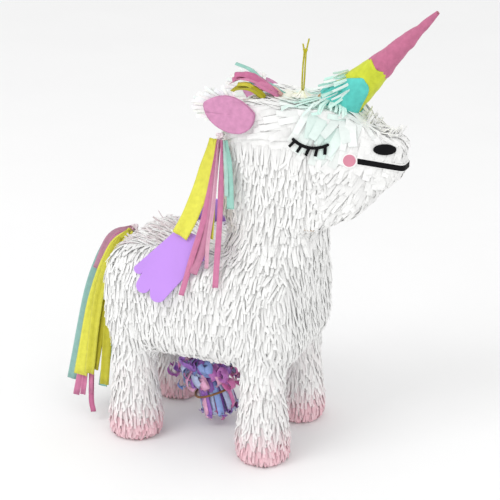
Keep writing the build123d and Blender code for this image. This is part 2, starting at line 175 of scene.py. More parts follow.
def smooth_shaded(data):
    data.polygons.foreach_set("use_smooth", [True] * len(data.polygons))
    return data


def add_papers(parts, material, body, ending):
    """One smooth piece for each (node, sheets)."""
    for node, sheets in parts.items():
        data = smooth_shaded(sheets.mesh(node + ending))
        colour = next(c for c in ("pink", "yellow", "mint", "teal") if c in node)
        add_piece(node + ending, data, material, body, colour + "_tissue", node)


def path_sheet(sheets, centre, across, facing, width, thickness, tint, columns=2, fold=None):
    """A sheet along centre points; across and facing are unit vectors at each point, width a list.

    fold(i, j) gives how far column j of row i stands off the sheet's plane.
    """
    rows = len(centre)
    grid = np.zeros((rows, columns, 3))
    normals = np.zeros((rows, columns, 3))
    for i in range(rows):
        for j in range(columns):
            share = j / (columns - 1) - 0.5
            stand = fold(i, j) if fold else 0.0
            point = centre[i] + across[i] * (share * width[i]) + facing[i] * stand
            grid[i, j] = point
            normals[i, j] = facing[i]
    sheets.add(grid, normals, thickness, tint)


# ---- materials ---------------------------------------------------------------------------------
class Nodes:
    """A material's node tree, with short calls for the few nodes that are used here."""

    def __init__(self, name):
        self.material = bpy.data.materials.new(name)
        self.material.use_nodes = True
        self.tree = self.material.node_tree
        self.shader = self.tree.nodes["Principled BSDF"]

    def node(self, kind, **inputs):
        made = self.tree.nodes.new(kind)
        for key, value in inputs.items():
            made.inputs[key.replace("_", " ")].default_value = value
        return made

    def link(self, out, into):
        self.tree.links.new(out, into)

    def noise_at(self, scale, detail=3.0, stretch=None):
        """Noise in the object's own metres; stretch scales the three axes."""
        place = self.tree.nodes.new("ShaderNodeTexCoord").outputs["Object"]
        if stretch:
            mapping = self.tree.nodes.new("ShaderNodeMapping")
            mapping.inputs["Scale"].default_value = stretch
            self.link(place, mapping.inputs["Vector"])
            place = mapping.outputs["Vector"]
        made = self.node("ShaderNodeTexNoise", Scale=scale, Detail=detail)
        self.link(place, made.inputs["Vector"])
        return made.outputs["Fac"]

    def ranged(self, value, low, high):
        made = self.tree.nodes.new("ShaderNodeMapRange")
        made.inputs["From Min"].default_value = 0.25
        made.inputs["From Max"].default_value = 0.75
        made.inputs["To Min"].default_value = low
        made.inputs["To Max"].default_value = high
        self.link(value, made.inputs["Value"])
        return made.outputs["Result"]

    def bumped(self, height, strength, distance):
        made = self.node("ShaderNodeBump", Strength=strength, Distance=distance)
        self.link(height, made.inputs["Height"])
        self.link(made.outputs["Normal"], self.shader.inputs["Normal"])

    def shaded(self, colour_socket, value_socket):
        """The colour with its value multiplied by value_socket."""
        made = self.tree.nodes.new("ShaderNodeHueSaturation")
        self.link(colour_socket, made.inputs["Color"])
        self.link(value_socket, made.inputs["Value"])
        self.link(made.outputs["Color"], self.shader.inputs["Base Color"])


def tissue_material(name, roughness=0.86, sheen=0.25, root_shade=0.92, crinkle=0.35, mottle=0.05):
    """Thin paper: the tint of each strip, painted shade that darkens it towards its root, faint mottling and
    fine creases.
    """
    made = Nodes(name)
    tint = made.tree.nodes.new("ShaderNodeAttribute")
    tint.attribute_name = "tint"
    mottled = made.ranged(made.noise_at(160.0), 1 - mottle, 1 + mottle)
    # painted shade under the overlapping strips: the tint's alpha, the share along the strip, darkens the
    # colour to root_shade at the root
    root = made.tree.nodes.new("ShaderNodeMapRange")
    root.inputs["From Max"].default_value = 0.7
    root.inputs["To Min"].default_value = root_shade
    made.link(tint.outputs["Alpha"], root.inputs["Value"])
    product = made.tree.nodes.new("ShaderNodeMath")
    product.operation = "MULTIPLY"
    made.link(mottled, product.inputs[0])
    made.link(root.outputs["Result"], product.inputs[1])
    made.shaded(tint.outputs["Color"], product.outputs["Value"])
    made.link(made.ranged(made.noise_at(90.0), roughness - 0.08, roughness + 0.06),
              made.shader.inputs["Roughness"])
    made.shader.inputs["Sheen Weight"].default_value = sheen
    made.shader.inputs["Specular IOR Level"].default_value = 0.25
    made.bumped(made.noise_at(700.0, 4.0, (1.0, 1.0, 0.25)), crinkle, 0.0006)
    return made.material


def satin_material(name):
    """Curling ribbon: glossy, with a fine bumpy grain and a pearly highlight."""
    made = Nodes(name)
    tint = made.tree.nodes.new("ShaderNodeAttribute")
    tint.attribute_name = "tint"
    made.shaded(tint.outputs["Color"], made.ranged(made.noise_at(220.0), 0.85, 1.2))
    made.link(made.ranged(made.noise_at(140.0), 0.22, 0.36), made.shader.inputs["Roughness"])
    made.shader.inputs["Coat Weight"].default_value = 0.35
    made.shader.inputs["Sheen Weight"].default_value = 0.2
    made.bumped(made.noise_at(1500.0, 2.0), 0.15, 0.0002)
    return made.material


def plain_noise_material(name, colour, shade_scale, shade, roughness, bump_scale, bump, stretch=None,
                         specular=0.4):
    """One colour broken up by noise in value, roughness and height."""
    made = Nodes(name)
    rgb = made.tree.nodes.new("ShaderNodeRGB")
    rgb.outputs["Color"].default_value = (*colour, 1.0)
    made.shaded(rgb.outputs["Color"], made.ranged(made.noise_at(shade_scale, 4.0, stretch),
                                                  1 - shade, 1 + shade))
    made.link(made.ranged(made.noise_at(shade_scale * 2), roughness - 0.06, roughness + 0.06),
              made.shader.inputs["Roughness"])
    made.shader.inputs["Specular IOR Level"].default_value = specular
    made.bumped(made.noise_at(bump_scale, 4.0, stretch), bump, 0.0005)
    return made.material


def card_material():
    """Brown corrugated card: fluting in soft bands under a fibrous face."""
    made = Nodes("card_board")
    rgb = made.tree.nodes.new("ShaderNodeRGB")
    rgb.outputs["Color"].default_value = (0.47, 0.31, 0.17, 1.0)
    made.shaded(rgb.outputs["Color"], made.ranged(made.noise_at(60.0, 6.0, (1, 1, 6)), 0.82, 1.12))
    made.shader.inputs["Roughness"].default_value = 0.9
    wave = made.node("ShaderNodeTexWave", Scale=60.0, Distortion=0.4)
    place = made.tree.nodes.new("ShaderNodeTexCoord")
    made.link(place.outputs["Object"], wave.inputs["Vector"])
    made.bumped(wave.outputs["Fac"], 0.25, 0.0005)
    return made.material


# ---- the surface under the strips --------------------------------------------------------------
def cad_arrays(names):
    """Points and triangles of several CAD nodes as one array pair, in metres."""
    points, triangles, offset = [], [], 0
    for name in names:
        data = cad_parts[name].data
        data.calc_loop_triangles()
        co = np.zeros(len(data.vertices) * 3, np.float32)
        data.vertices.foreach_get("co", co)
        co = co.reshape(-1, 3) - np.array(FEET, np.float32)
        tri = np.zeros(len(data.loop_triangles) * 3, np.int32)
        data.loop_triangles.foreach_get("vertices", tri)
        points.append(co)
        triangles.append(tri.reshape(-1, 3) + offset)
        offset += len(data.vertices)
    return np.concatenate(points), np.concatenate(triangles)


def tree_of(names):
    points, triangles = cad_arrays(names)
    return BVHTree.FromPolygons(points.tolist(), triangles.tolist())


LEGS = ("front_right", "front_left", "rear_right", "rear_left")
FRINGES = (["torso_fringe", "neck_fringe", "head_fringe", "trap_fringe", "fill_flap_fringe"]
           + [leg + "_leg_fringe" for leg in LEGS] + [leg + "_hoof_fringe" for leg in LEGS])
FILLERS = (["torso_shell", "neck_tube", "head_shell", "trap_door", "fill_flap", "foot_discs", "trap_frame"]
           + [leg + "_leg_tube" for leg in LEGS])
STICKERS = ["right_eyelashes", "left_eyelashes", "nostrils", "cheek_discs", "mouth_strip"]
COVERS = STICKERS + ["right_wing", "left_wing", "right_ear_card", "left_ear_card",
                     "mane_yellow", "mane_pink", "mane_mint"]


def rectangle(node, margin):
    """The box of a node, grown by a margin."""
    low, high = box(node)
    return [c - margin for c in low], [c + margin for c in high]


OPENING_MARGIN = 0.3
TRAP_LOW, TRAP_HIGH = rectangle("trap_fringe", OPENING_MARGIN)
FLAP_LOW, FLAP_HIGH = rectangle("fill_flap_fringe", OPENING_MARGIN)
TRAP_SKIN_TOP = TRAP_HIGH[2] + 6        # the belly's skin over the trap door lies below this
FLAP_SKIN_SIDE = FLAP_LOW[1] - 12       # the flank's skin over the flap lies to the left of this


def owner(x, y, z):
    """The body whose tissue covers a point of the surface, in millimetres."""
    if TRAP_LOW[0] < x < TRAP_HIGH[0] and TRAP_LOW[1] < y < TRAP_HIGH[1] and z < TRAP_SKIN_TOP:
        return "trap_door"
    if FLAP_LOW[0] < x < FLAP_HIGH[0] and FLAP_LOW[2] < z < FLAP_HIGH[2] and y > FLAP_SKIN_SIDE:
        return "fill_flap"
    return "body"


def inset_at(x, z):
    """How far the skin lies inside the fringe's outer face, eased along the head towards the muzzle."""
    on_head = smooth_step((z - 295) / 30)
    return SKIN_INSET + (MUZZLE_INSET - SKIN_INSET) * smooth_step((x - 150) / 40) * on_head


def largest_island(mesh):
    """Keeps only the connected part that reaches furthest: the outer skin, not the cavities."""
    mesh.verts.ensure_lookup_table()
    left = set(mesh.verts)
    best, best_span = set(), 0.0
    while left:
        seed = left.pop()
        island, front = {seed}, [seed]
        while front:
            for edge in front.pop().link_edges:
                for vert in edge.verts:
                    if vert in left:
                        left.discard(vert)
                        island.add(vert)
                        front.append(vert)
        heights = [v.co.z for v in island]
        span = max(heights) - min(heights)
        if span > best_span:
            best, best_span = island, span
    bmesh.ops.delete(mesh, geom=[v for v in mesh.verts if v not in best], context="VERTS")


def build_skin():
    """One closed surface round the whole animal, just inside the fringe's outer face."""
    points, triangles = cad_arrays(FRINGES + FILLERS)
    data = bpy.data.meshes.new("skin_source")
    data.from_pydata(points.tolist(), [], triangles.tolist())
    source = bpy.data.objects.new("skin_source", data)
    bpy.context.scene.collection.objects.link(source)
    remesh = source.modifiers.new("remesh", "REMESH")
    remesh.mode = "VOXEL"
    remesh.voxel_size = SKIN_VOXEL * MM
    bpy.context.view_layer.update()
    evaluated = source.evaluated_get(bpy.context.evaluated_depsgraph_get())
    skin = bmesh.new()
    skin.from_mesh(evaluated.to_mesh())
    evaluated.to_mesh_clear()
    bpy.data.objects.remove(source)
    largest_island(skin)
    bmesh.ops.recalc_face_normals(skin, faces=skin.faces)
    for _ in range(3):
        bmesh.ops.smooth_vert(skin, verts=skin.verts, factor=0.5, use_axis_x=True, use_axis_y=True,
                              use_axis_z=True)
    skin.normal_update()
    shift = [v.normal * (-inset_at(v.co.x / MM, v.co.z / MM) * MM) for v in skin.verts]
    for vert, step in zip(skin.verts, shift):
        vert.co += step
        vert.co.z = max(vert.co.z, 0.6 * MM)
    skin.normal_update()
    bmesh.ops.triangulate(skin, faces=skin.faces)
    skin.verts.ensure_lookup_table()
    skin.faces.ensure_lookup_table()
    return skin


def cut_near(mesh, axis, at, is_near):
    """Cuts the faces whose middle is_near by a plane across an axis, at a place in millimetres."""
    normal = Vector([1.0 if k == axis else 0.0 for k in range(3)])
    near = [face for face in mesh.faces if is_near(face.calc_center_median())]
    edges = {edge for face in near for edge in face.edges}
    corners = {vert for face in near for vert in face.verts}
    geometry = near + list(edges | corners)
    bmesh.ops.bisect_plane(mesh, geom=geometry, plane_co=normal * (at * MM), plane_no=normal)


def underlayer(skin, body, material):
    """The backing tissue of one body as a thin closed shell, cut cleanly along the openings."""
    part = skin.copy()
    for axis in (0, 1):
        for at in (TRAP_LOW[axis], TRAP_HIGH[axis]):
            cut_near(part, axis, at, lambda middle: middle.z < TRAP_SKIN_TOP * MM)
    for axis in (0, 2):
        for at in (FLAP_LOW[axis], FLAP_HIGH[axis]):
            cut_near(part, axis, at, lambda middle: middle.y > FLAP_SKIN_SIDE * MM)
    other = [face for face in part.faces
             if owner(*[c / MM for c in face.calc_center_median()]) != body]
    bmesh.ops.delete(part, geom=other, context="FACES")
    data = bpy.data.meshes.new(body + "_tissue_backing")
    part.to_mesh(data)
    part.free()
    tint = data.color_attributes.new("tint", "FLOAT_COLOR", "POINT")
    # alpha 0.6 gives the backing a slight painted shade through its root_shade
    tint.data.foreach_set("color", np.tile((*WHITE, 0.6), len(data.vertices)).astype(np.float32))
    piece = add_piece(body + "_tissue_backing", data, material, body, "white_tissue")
    solidify = piece.modifiers.new("thickness", "SOLIDIFY")
    solidify.thickness = 0.8 * MM
    solidify.offset = -1.0


def section_chains(points, triangles, direction, level):
    """Closed chains of points where a triangle mesh crosses a plane."""
    height = points @ direction - level
    side = height[triangles] > 0
    crossing = triangles[side.any(axis=1) & ~side.all(axis=1)]
    places, links = {}, {}
    for triangle in crossing:
        ends = []
        for a, b in ((0, 1), (1, 2), (2, 0)):
            i, j = int(triangle[a]), int(triangle[b])
            if (height[i] > 0) != (height[j] > 0):
                key = (min(i, j), max(i, j))
                share = height[i] / (height[i] - height[j])
                places[key] = points[i] + (points[j] - points[i]) * share
                ends.append(key)
        if len(ends) == 2:
            links.setdefault(ends[0], []).append(ends[1])
            links.setdefault(ends[1], []).append(ends[0])
    chains, seen = [], set()
    for start in links:
        if start in seen:
            continue
        chain, here = [], start
        while here is not None:
            seen.add(here)
            chain.append(places[here])
            here = next((k for k in links[here] if k not in seen), None)
        chain.append(chain[0])
        chains.append(np.array(chain))
    return chains


def spaced(chain, pitch, rng):
    """Points along a chain about a pitch apart, in metres, with a little jitter."""
    steps = np.linalg.norm(np.diff(chain, axis=0), axis=1)
    total = steps.sum()
    count = int(total / pitch)
    if count < 1:
        return []
    along = np.concatenate([[0], np.cumsum(steps)])
    wanted = (np.arange(count) + rng.random()) * (total / count)
    wanted = np.clip(wanted + np.array([rng.uniform(-0.3, 0.3) for _ in range(count)]) * pitch, 0, total)
    return np.stack([np.interp(wanted, along, chain[:, k]) for k in range(3)], axis=1)


# ---- how the fringe lies -----------------------------------------------------------------------
class Lay:
    """How one area is fringed: the way strips point, and their size, in millimetres."""

    def __init__(self, way, rows, pitch, length, width, lift, curl):
        self.way = Vector(way).normalized()
        self.rows = rows
        self.pitch = pitch
        self.length = length
        self.width = width
        self.lift = lift
        self.curl = curl


LAYS = {
    "side": Lay((0, 0, -1), 11.5, 3.0, (21, 27), 3.3, 3.2, 1.6),
    "back": Lay((-1, 0, -0.1), 9.0, 3.0, (15, 23), 3.2, 3.4, 3.2),
    "right_shoulder": Lay((0, -1, -0.35), 8.5, 3.1, (18, 26), 3.3, 3.6, 3.0),
    "left_shoulder": Lay((0, 1, -0.35), 8.5, 3.1, (18, 26), 3.3, 3.6, 3.0),
    "belly": Lay((-1, 0, -0.1), 10.0, 3.3, (14, 22), 3.3, 2.8, 1.2),
    "leg": Lay((0, 0, -1), 9.0, 2.9, (18, 25), 3.1, 3.0, 1.8),
    "hoof": Lay((0, 0, -1), 8.0, 2.9, (12, 17), 3.4, 2.6, 1.8),
    "crown": Lay((-1, 0, 0), 11.0, 5.6, (22, 32), 7.5, 2.8, 1.8),
    "temple": Lay((-1, 0, -0.16), 12.0, 6.0, (24, 34), 8.0, 2.4, 0.8),
    "face": Lay((-0.45, 0, -1), 12.0, 8.0, (24, 34), 11.0, 2.8, 1.4),
    "jaw": Lay((-0.62, 0, -0.78), 10.0, 4.6, (20, 28), 5.6, 2.4, 1.0),
    "muzzle": Lay((-0.25, 0, -1), 9.0, 7.0, (14, 20), 9.0, 1.6, 0.4),
    "bridge": Lay((0.9, 0, -0.45), 9.0, 4.6, (13, 21), 5.0, 3.6, 3.6),
}
LEG_X, LEG_Y = 85.5, 60.5      # the axis of a leg, from the point between the feet
LEG_REACH = 40                 # a leg's tissue lies this near its axis
HOOF_TOP, LEG_TOP = 36, 120
BACK_TOP = 270                 # the torso ends and the neck begins
HEAD_BOTTOM, CROWN_BOTTOM = 300, 396
FACE_BACK_X, MUZZLE_BACK_X = 148, 196


def lay_at(x, y, z, normal):
    """The name of the area a surface point belongs to."""
    by_leg = math.hypot(abs(x) - LEG_X, abs(y) - LEG_Y) < LEG_REACH
    if z < HOOF_TOP and by_leg:
        return "hoof" if normal.z > -0.6 else None
    if z < LEG_TOP and by_leg:
        return "leg"
    if z > HEAD_BOTTOM and x > FACE_BACK_X and normal.z < 0.55:
        return "muzzle" if x > MUZZLE_BACK_X else ("face" if z > 384 else "jaw")
    if z > CROWN_BOTTOM:
        if normal.z > 0.5:
            return "bridge" if x > 186 else "crown"
        return "temple" if x < 118 else "face"
    if z > BACK_TOP and x > 128 and normal.z < -0.2:
        return "jaw"
    if 215 < z < BACK_TOP and normal.z > 0.5 and abs(y) > 46:
        return "right_shoulder" if y < 0 else "left_shoulder"
    if z < BACK_TOP and normal.z > 0.62:
        return "back"
    if z < 160 and normal.z < -0.62:
        return "belly"
    return "side"


def strip_tint(x, y, z, area, rng):
    """The tissue colour at a root: white with washes near the hooves, the horn, the cord and the tail."""
    tone = rng.uniform(0.90, 1.03)
    colour = WHITE
    if area == "hoof":
        colour = mixed(ROSY, WHITE, rng.uniform(0.0, 0.28) + 0.20 * smooth_step((z - 24) / 14))
    elif area == "leg":
        colour = mixed(ROSY, WHITE, 0.45 + 0.55 * smooth_step((z - 32) / 34) + rng.uniform(-0.10, 0.0))
    elif area in ("back", "left_shoulder") and x < -25 and rng.random() < 0.55:
        colour = mixed(WHITE, GREYPINK, rng.uniform(0.25, 0.8))
    elif area in ("back", "side") and x < -100 and z > 215 and abs(y) < 34 and rng.random() < 0.3:
        colour = mixed(WHITE, LEMON_WASH, rng.uniform(0.2, 0.5))
    horn_distance = math.hypot(x - 150, (z - 437) * 0.7, y * 0.6)
    if area in ("crown", "bridge", "face", "temple") and horn_distance < 46 and x > 104:
        colour = mixed(WHITE, MINT_WASH, rng.uniform(0.15, 0.85) * smooth_step((46 - horn_distance) / 26))
    cord_distance = math.hypot(x - 108, y)
    if area == "crown" and cord_distance < 26:
        colour = mixed(colour, (0.86, 0.84, 0.62), 0.45 * smooth_step((26 - cord_distance) / 20))
    return tuple(min(c * tone, 0.93) for c in colour)


class Fringe:
    """Grows strips on the skin and sorts them by the CAD node they stand for."""

    def __init__(self, skin):
        self.points = np.array([v.co for v in skin.verts])
        self.triangles = np.array([[v.index for v in f.verts] for f in skin.faces])
        self.tree = BVHTree.FromPolygons(self.points.tolist(), self.triangles.tolist())
        self.covers = tree_of(COVERS)
        self.node_trees = {name: tree_of([name]) for name in FRINGES}
        self.pieces = {}
        self.rng = random.Random(11)

    def node_at(self, place, body):
        if body == "trap_door":
            return "trap_fringe"
        if body == "fill_flap":
            return "fill_flap_fringe"
        choices = [n for n in FRINGES if n not in ("trap_fringe", "fill_flap_fringe")]
        return min(choices, key=lambda n: self.node_trees[n].find_nearest(place)[3])

    def sheets_for(self, node, place):
        name = node.replace("_fringe", "_strips")
        if node == "torso_fringe":
            name += "_right" if place.y < 0 else "_left"
        return self.pieces.setdefault(name, (node, Sheets()))[1]

    def grow(self, root, area):
        """One strip that follows the skin from its root and lifts towards its tip."""
        lay, rng = LAYS[area], self.rng
        place, normal, _, _ = self.tree.find_nearest(root)
        body = owner(*[c / MM for c in place])
        turn = Matrix.Rotation(rng.gauss(0, 0.07), 3, normal)
        heading = turn @ lay.way
        heading = heading - normal * heading.dot(normal)
        if heading.length < 0.15:
            return
        heading.normalize()
        node = self.node_at(place, body)
        sheets = self.sheets_for(node, place)
        length = rng.uniform(*lay.length)
        step = length / STRIP_SEGMENTS * MM
        width = lay.width * rng.uniform(0.75, 1.2) * MM
        lift = lay.lift * rng.uniform(0.7, 1.25)
        curl = lay.curl * rng.uniform(-0.25, 1.0) ** 3
        twist = rng.gauss(0, 0.16)
        bend = rng.gauss(0, 0.06)
        grid, normals = [], []
        here = place
        for i in range(STRIP_SEGMENTS + 1):
            share = i / STRIP_SEGMENTS
            along = heading - normal * heading.dot(normal)
            along.normalize()
            stand = 0.4 + lift * share + curl * share * share * share
            near = self.covers.find_nearest(here, COVER_REACH * MM)[0]
            if near is not None:
                stand = min(stand, inset_at(here.x / MM, here.z / MM) - 0.5)
            side = normal.cross(along)
            side = (side + normal * (twist * share)).normalized()
            half = width / 2 * (1.0 - 0.18 * share)
            middle = here + normal * (stand * MM)
            middle.z = max(middle.z, 0.5 * MM)
            facing = along.cross(side).normalized()
            if facing.dot(normal) < 0:
                facing = -facing
            grid.append((middle - side * half, middle + side * half))
            normals.append((facing, facing))
            following = here + (along + side * bend).normalized() * step
            following, normal, _, _ = self.tree.find_nearest(following)
            heading = (following - here).normalized() if (following - here).length > 1e-6 else heading
            here = following
            if owner(*[c / MM for c in here]) != body and i >= 1:
                break
        if len(grid) < 3:
            return
        tint = strip_tint(*[c / MM for c in place], area, rng)
        sheets.add(np.array(grid), np.array(normals), PAPER * MM, tint)

    def fill(self):
        for area, lay in LAYS.items():
            direction = np.array(lay.way)
            heights = self.points @ direction
            level = heights.min() + 3 * MM
            while level < heights.max():
                for chain in section_chains(self.points, self.triangles, direction, level):
                    for root in spaced(chain, lay.pitch * MM, self.rng):
                        root = Vector(root)
                        normal = self.tree.find_nearest(root)[1]
                        if lay_at(*[c / MM for c in root], normal) == area:
                            jitter = lay.way * (self.rng.uniform(-0.25, 0.25) * lay.rows * MM)
                            self.grow(root + jitter, area)
                level += lay.rows * MM * self.rng.uniform(0.92, 1.08)


def build_fringe(white, backing):
    skin = build_skin()
    for body in ("body", "trap_door", "fill_flap"):
        underlayer(skin, body, backing)
    fringe = Fringe(skin)
    fringe.fill()
    bodies = {"trap_fringe": "trap_door", "fill_flap_fringe": "fill_flap"}
    for name, (node, sheets) in fringe.pieces.items():
        slot = "hoof_pink_tissue" if "hoof" in node else "white_tissue"
        add_piece(name, sheets.mesh(name), white, bodies.get(node, "body"), slot, node)
    skin.free()
    return fringe


# ---- horn --------------------------------------------------------------------------------------
def horn_place(distance, angle, radius):
    """A point of the horn, in millimetres, from its base point along and round its axis."""
    side = Vector((0, 1, 0))
    up = HORN_AXIS.cross(side)
    return HORN_ORIGIN + HORN_AXIS * distance + (side * math.cos(angle) + up * math.sin(angle)) * radius


def horn_radius(distance):
    return max(HORN_BASE_R - (HORN_BASE_R - HORN_TIP_R) / HORN_LENGTH * distance, 0.5)


def horn_wrap(start, end, proud, crumple, seed, tint, ragged, patch=0.0):
    """A crumpled sleeve round the horn with ragged ends and a spiral fold.

    patch shortens the upper end everywhere but on the right side.
    """
    rows, columns = max(int((end - start) / 2.4), 6), 56
    grid = np.zeros((rows, columns + 1, 3))
    normals = np.zeros((rows, columns + 1, 3))
    for j in range(columns + 1):
        angle = 2 * math.pi * (j % columns) / columns
        round_place = Vector((math.cos(angle), math.sin(angle), seed))
        low = start + ragged * (noise.noise(round_place * 1.7) * 1.6)
        high = end + ragged * (noise.noise(round_place * 1.9 + Vector((5, 0, 0))) * 1.6)
        high -= patch * smooth_step((1.0 - math.cos(angle - math.pi)) / 0.9)
        high = min(high, HORN_LENGTH)
        for i in range(rows):
            share = i / (rows - 1)
            distance = low + (high - low) * share
            spiral = math.sin(angle * 2 + distance * 0.16 + seed)
            noise_place = Vector((math.cos(angle) * 1.4, math.sin(angle) * 1.4, distance * 0.075 + seed))
            rough = noise.fractal(noise_place, 0.8, 2.0, 3)
            fade = min(1.0, (HORN_LENGTH - distance) / 22)
            creases = 0.5 * rough + 0.35 * spiral * abs(spiral)
            radius = horn_radius(distance) + proud + fade * crumple * creases
            point = horn_place(distance, angle, max(radius, 0.9))
            grid[i, j] = point * MM
            normals[i, j] = (point - horn_place(distance, angle, 0)).normalized()
    sheets = Sheets()
    sheets.add(grid[:, ::-1], normals[:, ::-1], 0.8 * MM, tint)
    return sheets


def build_horn(paper):
    pink = horn_wrap(42, HORN_LENGTH, 1.0, 1.5, 3.1, HORN_PINK, 3.0)
    tip = horn_place(HORN_LENGTH, 0, 0)
    for k in range(3):
        centre = [np.array((tip + HORN_AXIS * (s * 1.4 - 5)) * MM) for s in range(5)]
        angle = 2.1 * k
        across = [np.array(HORN_AXIS.cross(Vector((math.cos(angle), math.sin(angle), 0.2))).normalized())] * 5
        facing = [np.cross(across[0], np.array(HORN_AXIS))] * 5
        path_sheet(pink, centre, across, facing, [w * MM for w in (3.6, 3.0, 2.4, 1.7, 0.9)],
                   PAPER * MM, ROSE)
    yellow = horn_wrap(-22, 46, 1.35, 1.1, 7.7, LIME, 4.2)
    teal = horn_wrap(-26, 24, 2.5, 1.6, 1.3, TEAL, 5.0, patch=30.0)
    wraps = {"horn_pink_wrap": pink, "horn_yellow_wrap": yellow, "horn_teal_wrap": teal}
    add_papers(wraps, paper, "body", "_paper")


def collar_strips(sheets, fringe, rng):
    """Strips that radiate back and down from the foot of the horn over the crown."""
    for k in range(46):
        angle = 2 * math.pi * k / 46 + rng.uniform(-0.05, 0.05)
        outward = Vector((math.cos(angle), math.sin(angle), 0))
        if outward.x > 0.75:
            continue
        root = Vector((150 + outward.x * 15, outward.y * 17, 446)) * MM
        here, normal, _, _ = fringe.tree.find_nearest(root)
        length = rng.uniform(16, 34) * (1.15 if outward.x < 0 else 0.7)
        width = rng.uniform(3.0, 5.2) * MM
        lift = rng.uniform(2.0, 5.5)
        grid, normals = [], []
        for i in range(6):
            share = i / 5
            along = outward - normal * outward.dot(normal)
            along.normalize()
            side = normal.cross(along).normalized()
            stand = 6.5 * (1 - share) ** 2 + lift * (0.4 + 0.6 * math.sin(share * 2.6)) + 0.8
            middle = here + normal * stand * MM
            half = width / 2 * (1 - 0.35 * share)
            grid.append((middle - side * half, middle + side * half))
            normals.append((normal, normal))
            here, normal, _, _ = fringe.tree.find_nearest(here + along * (length / 5 * MM))
        tint = mixed(WHITE, MINT_WASH, rng.uniform(0.25, 1.0))
        sheets.add(np.array(grid), np.array(normals), PAPER * MM, tint)


def horn_side_strips(sheets, rng):
    """Three upright strips behind the horn, and short ones that hang off its foot."""
    for x, y in ((137, -6), (140, -2), (143, 3)):
        tuft(sheets, Vector((x, y, 438)), Vector((-0.12, rng.uniform(-0.2, 0.2), 1)), 17, 3.4, WHITE, rng)
    for _ in range(70):
        angle = rng.uniform(0, 2 * math.pi)
        distance = rng.uniform(-12, 15)
        outward = (horn_place(distance, angle, 1) - horn_place(distance, angle, 0)).normalized()
        if outward.x > 0.2:
            continue
        way = outward * 0.35 + Vector((-0.6, -0.15, -0.5))
        root = horn_place(distance, angle, horn_radius(distance) + 3.0)
        tuft(sheets, root, way, rng.uniform(13, 24), 3.4, mixed(MINT_WASH, WHITE, rng.random()), rng)


def ridge_strips(sheets, fringe, rng):
    """Strips that stand up along the top of the muzzle and on the back."""
    for k in range(34):
        x = 196 + 1.15 * k
        root = fringe.tree.find_nearest(Vector((x, rng.uniform(-9, 9), 440)) * MM)[0]
        way = Vector((0.5, rng.uniform(-0.3, 0.3), 0.7))
        tuft(sheets, root / MM - way, way, rng.uniform(9, 16), 3.6, WHITE, rng)
    for k in range(14):
        above = Vector((-112 + 5.5 * k, rng.uniform(-40, 45), 300))
        root = fringe.tree.find_nearest(above * MM)[0]
        way = Vector((-0.8, rng.uniform(-0.3, 0.3), 0.55))
        tint = mixed(WHITE, GREYPINK, rng.uniform(0.3, 0.9))
        tuft(sheets, root / MM - way, way, rng.uniform(10, 19), 2.8, tint, rng)


def build_loose_strips(white, fringe):
    rng = random.Random(5)
    sheets = Sheets()
    collar_strips(sheets, fringe, rng)
    horn_side_strips(sheets, rng)
    ridge_strips(sheets, fringe, rng)
    add_piece("horn_foot_strips", sheets.mesh("horn_foot_strips"), white, "body", "white_tissue")


def tuft(sheets, root, way, length, width, tint, rng):
    """One strip that stands off its root along way, with a curled tip; root in millimetres."""
    way = way.normalized()
    side = way.cross(Vector((rng.uniform(-1, 1), rng.uniform(-1, 1), 0.2))).normalized()
    facing = side.cross(way)
    count = 6
    centre = []
    for i in range(count):
        share = i / (count - 1)
        centre.append(np.array((root + way * length * share + facing * (2.6 * share * share)) * MM))
    path_sheet(sheets, centre, [np.array(side)] * count, [np.array(facing)] * count,
               [width * MM * (1 - 0.3 * i / count) for i in range(count)], PAPER * MM, tint)


# ---- ears --------------------------------------------------------------------------------------
def ear_outline(node, count):
    """The ear card's outline as (X, Z) points in millimetres, in order round its middle."""
    points, _ = cad_arrays([node])
    flat = points[:, [0, 2]] / MM
    middle = (flat.min(axis=0) + flat.max(axis=0)) / 2
    reach = {}
    for x, z in flat:
        angle = math.atan2(z - middle[1], x - middle[0])
        reach.setdefault(round(angle, 3), math.hypot(x - middle[0], z - middle[1]))
    angles = np.array(sorted(reach))
    radii = np.array([reach[a] for a in angles])
    wanted = np.linspace(-math.pi, math.pi, count, endpoint=False)
    found = np.interp(wanted, angles, radii, period=2 * math.pi)
    return middle, wanted, found


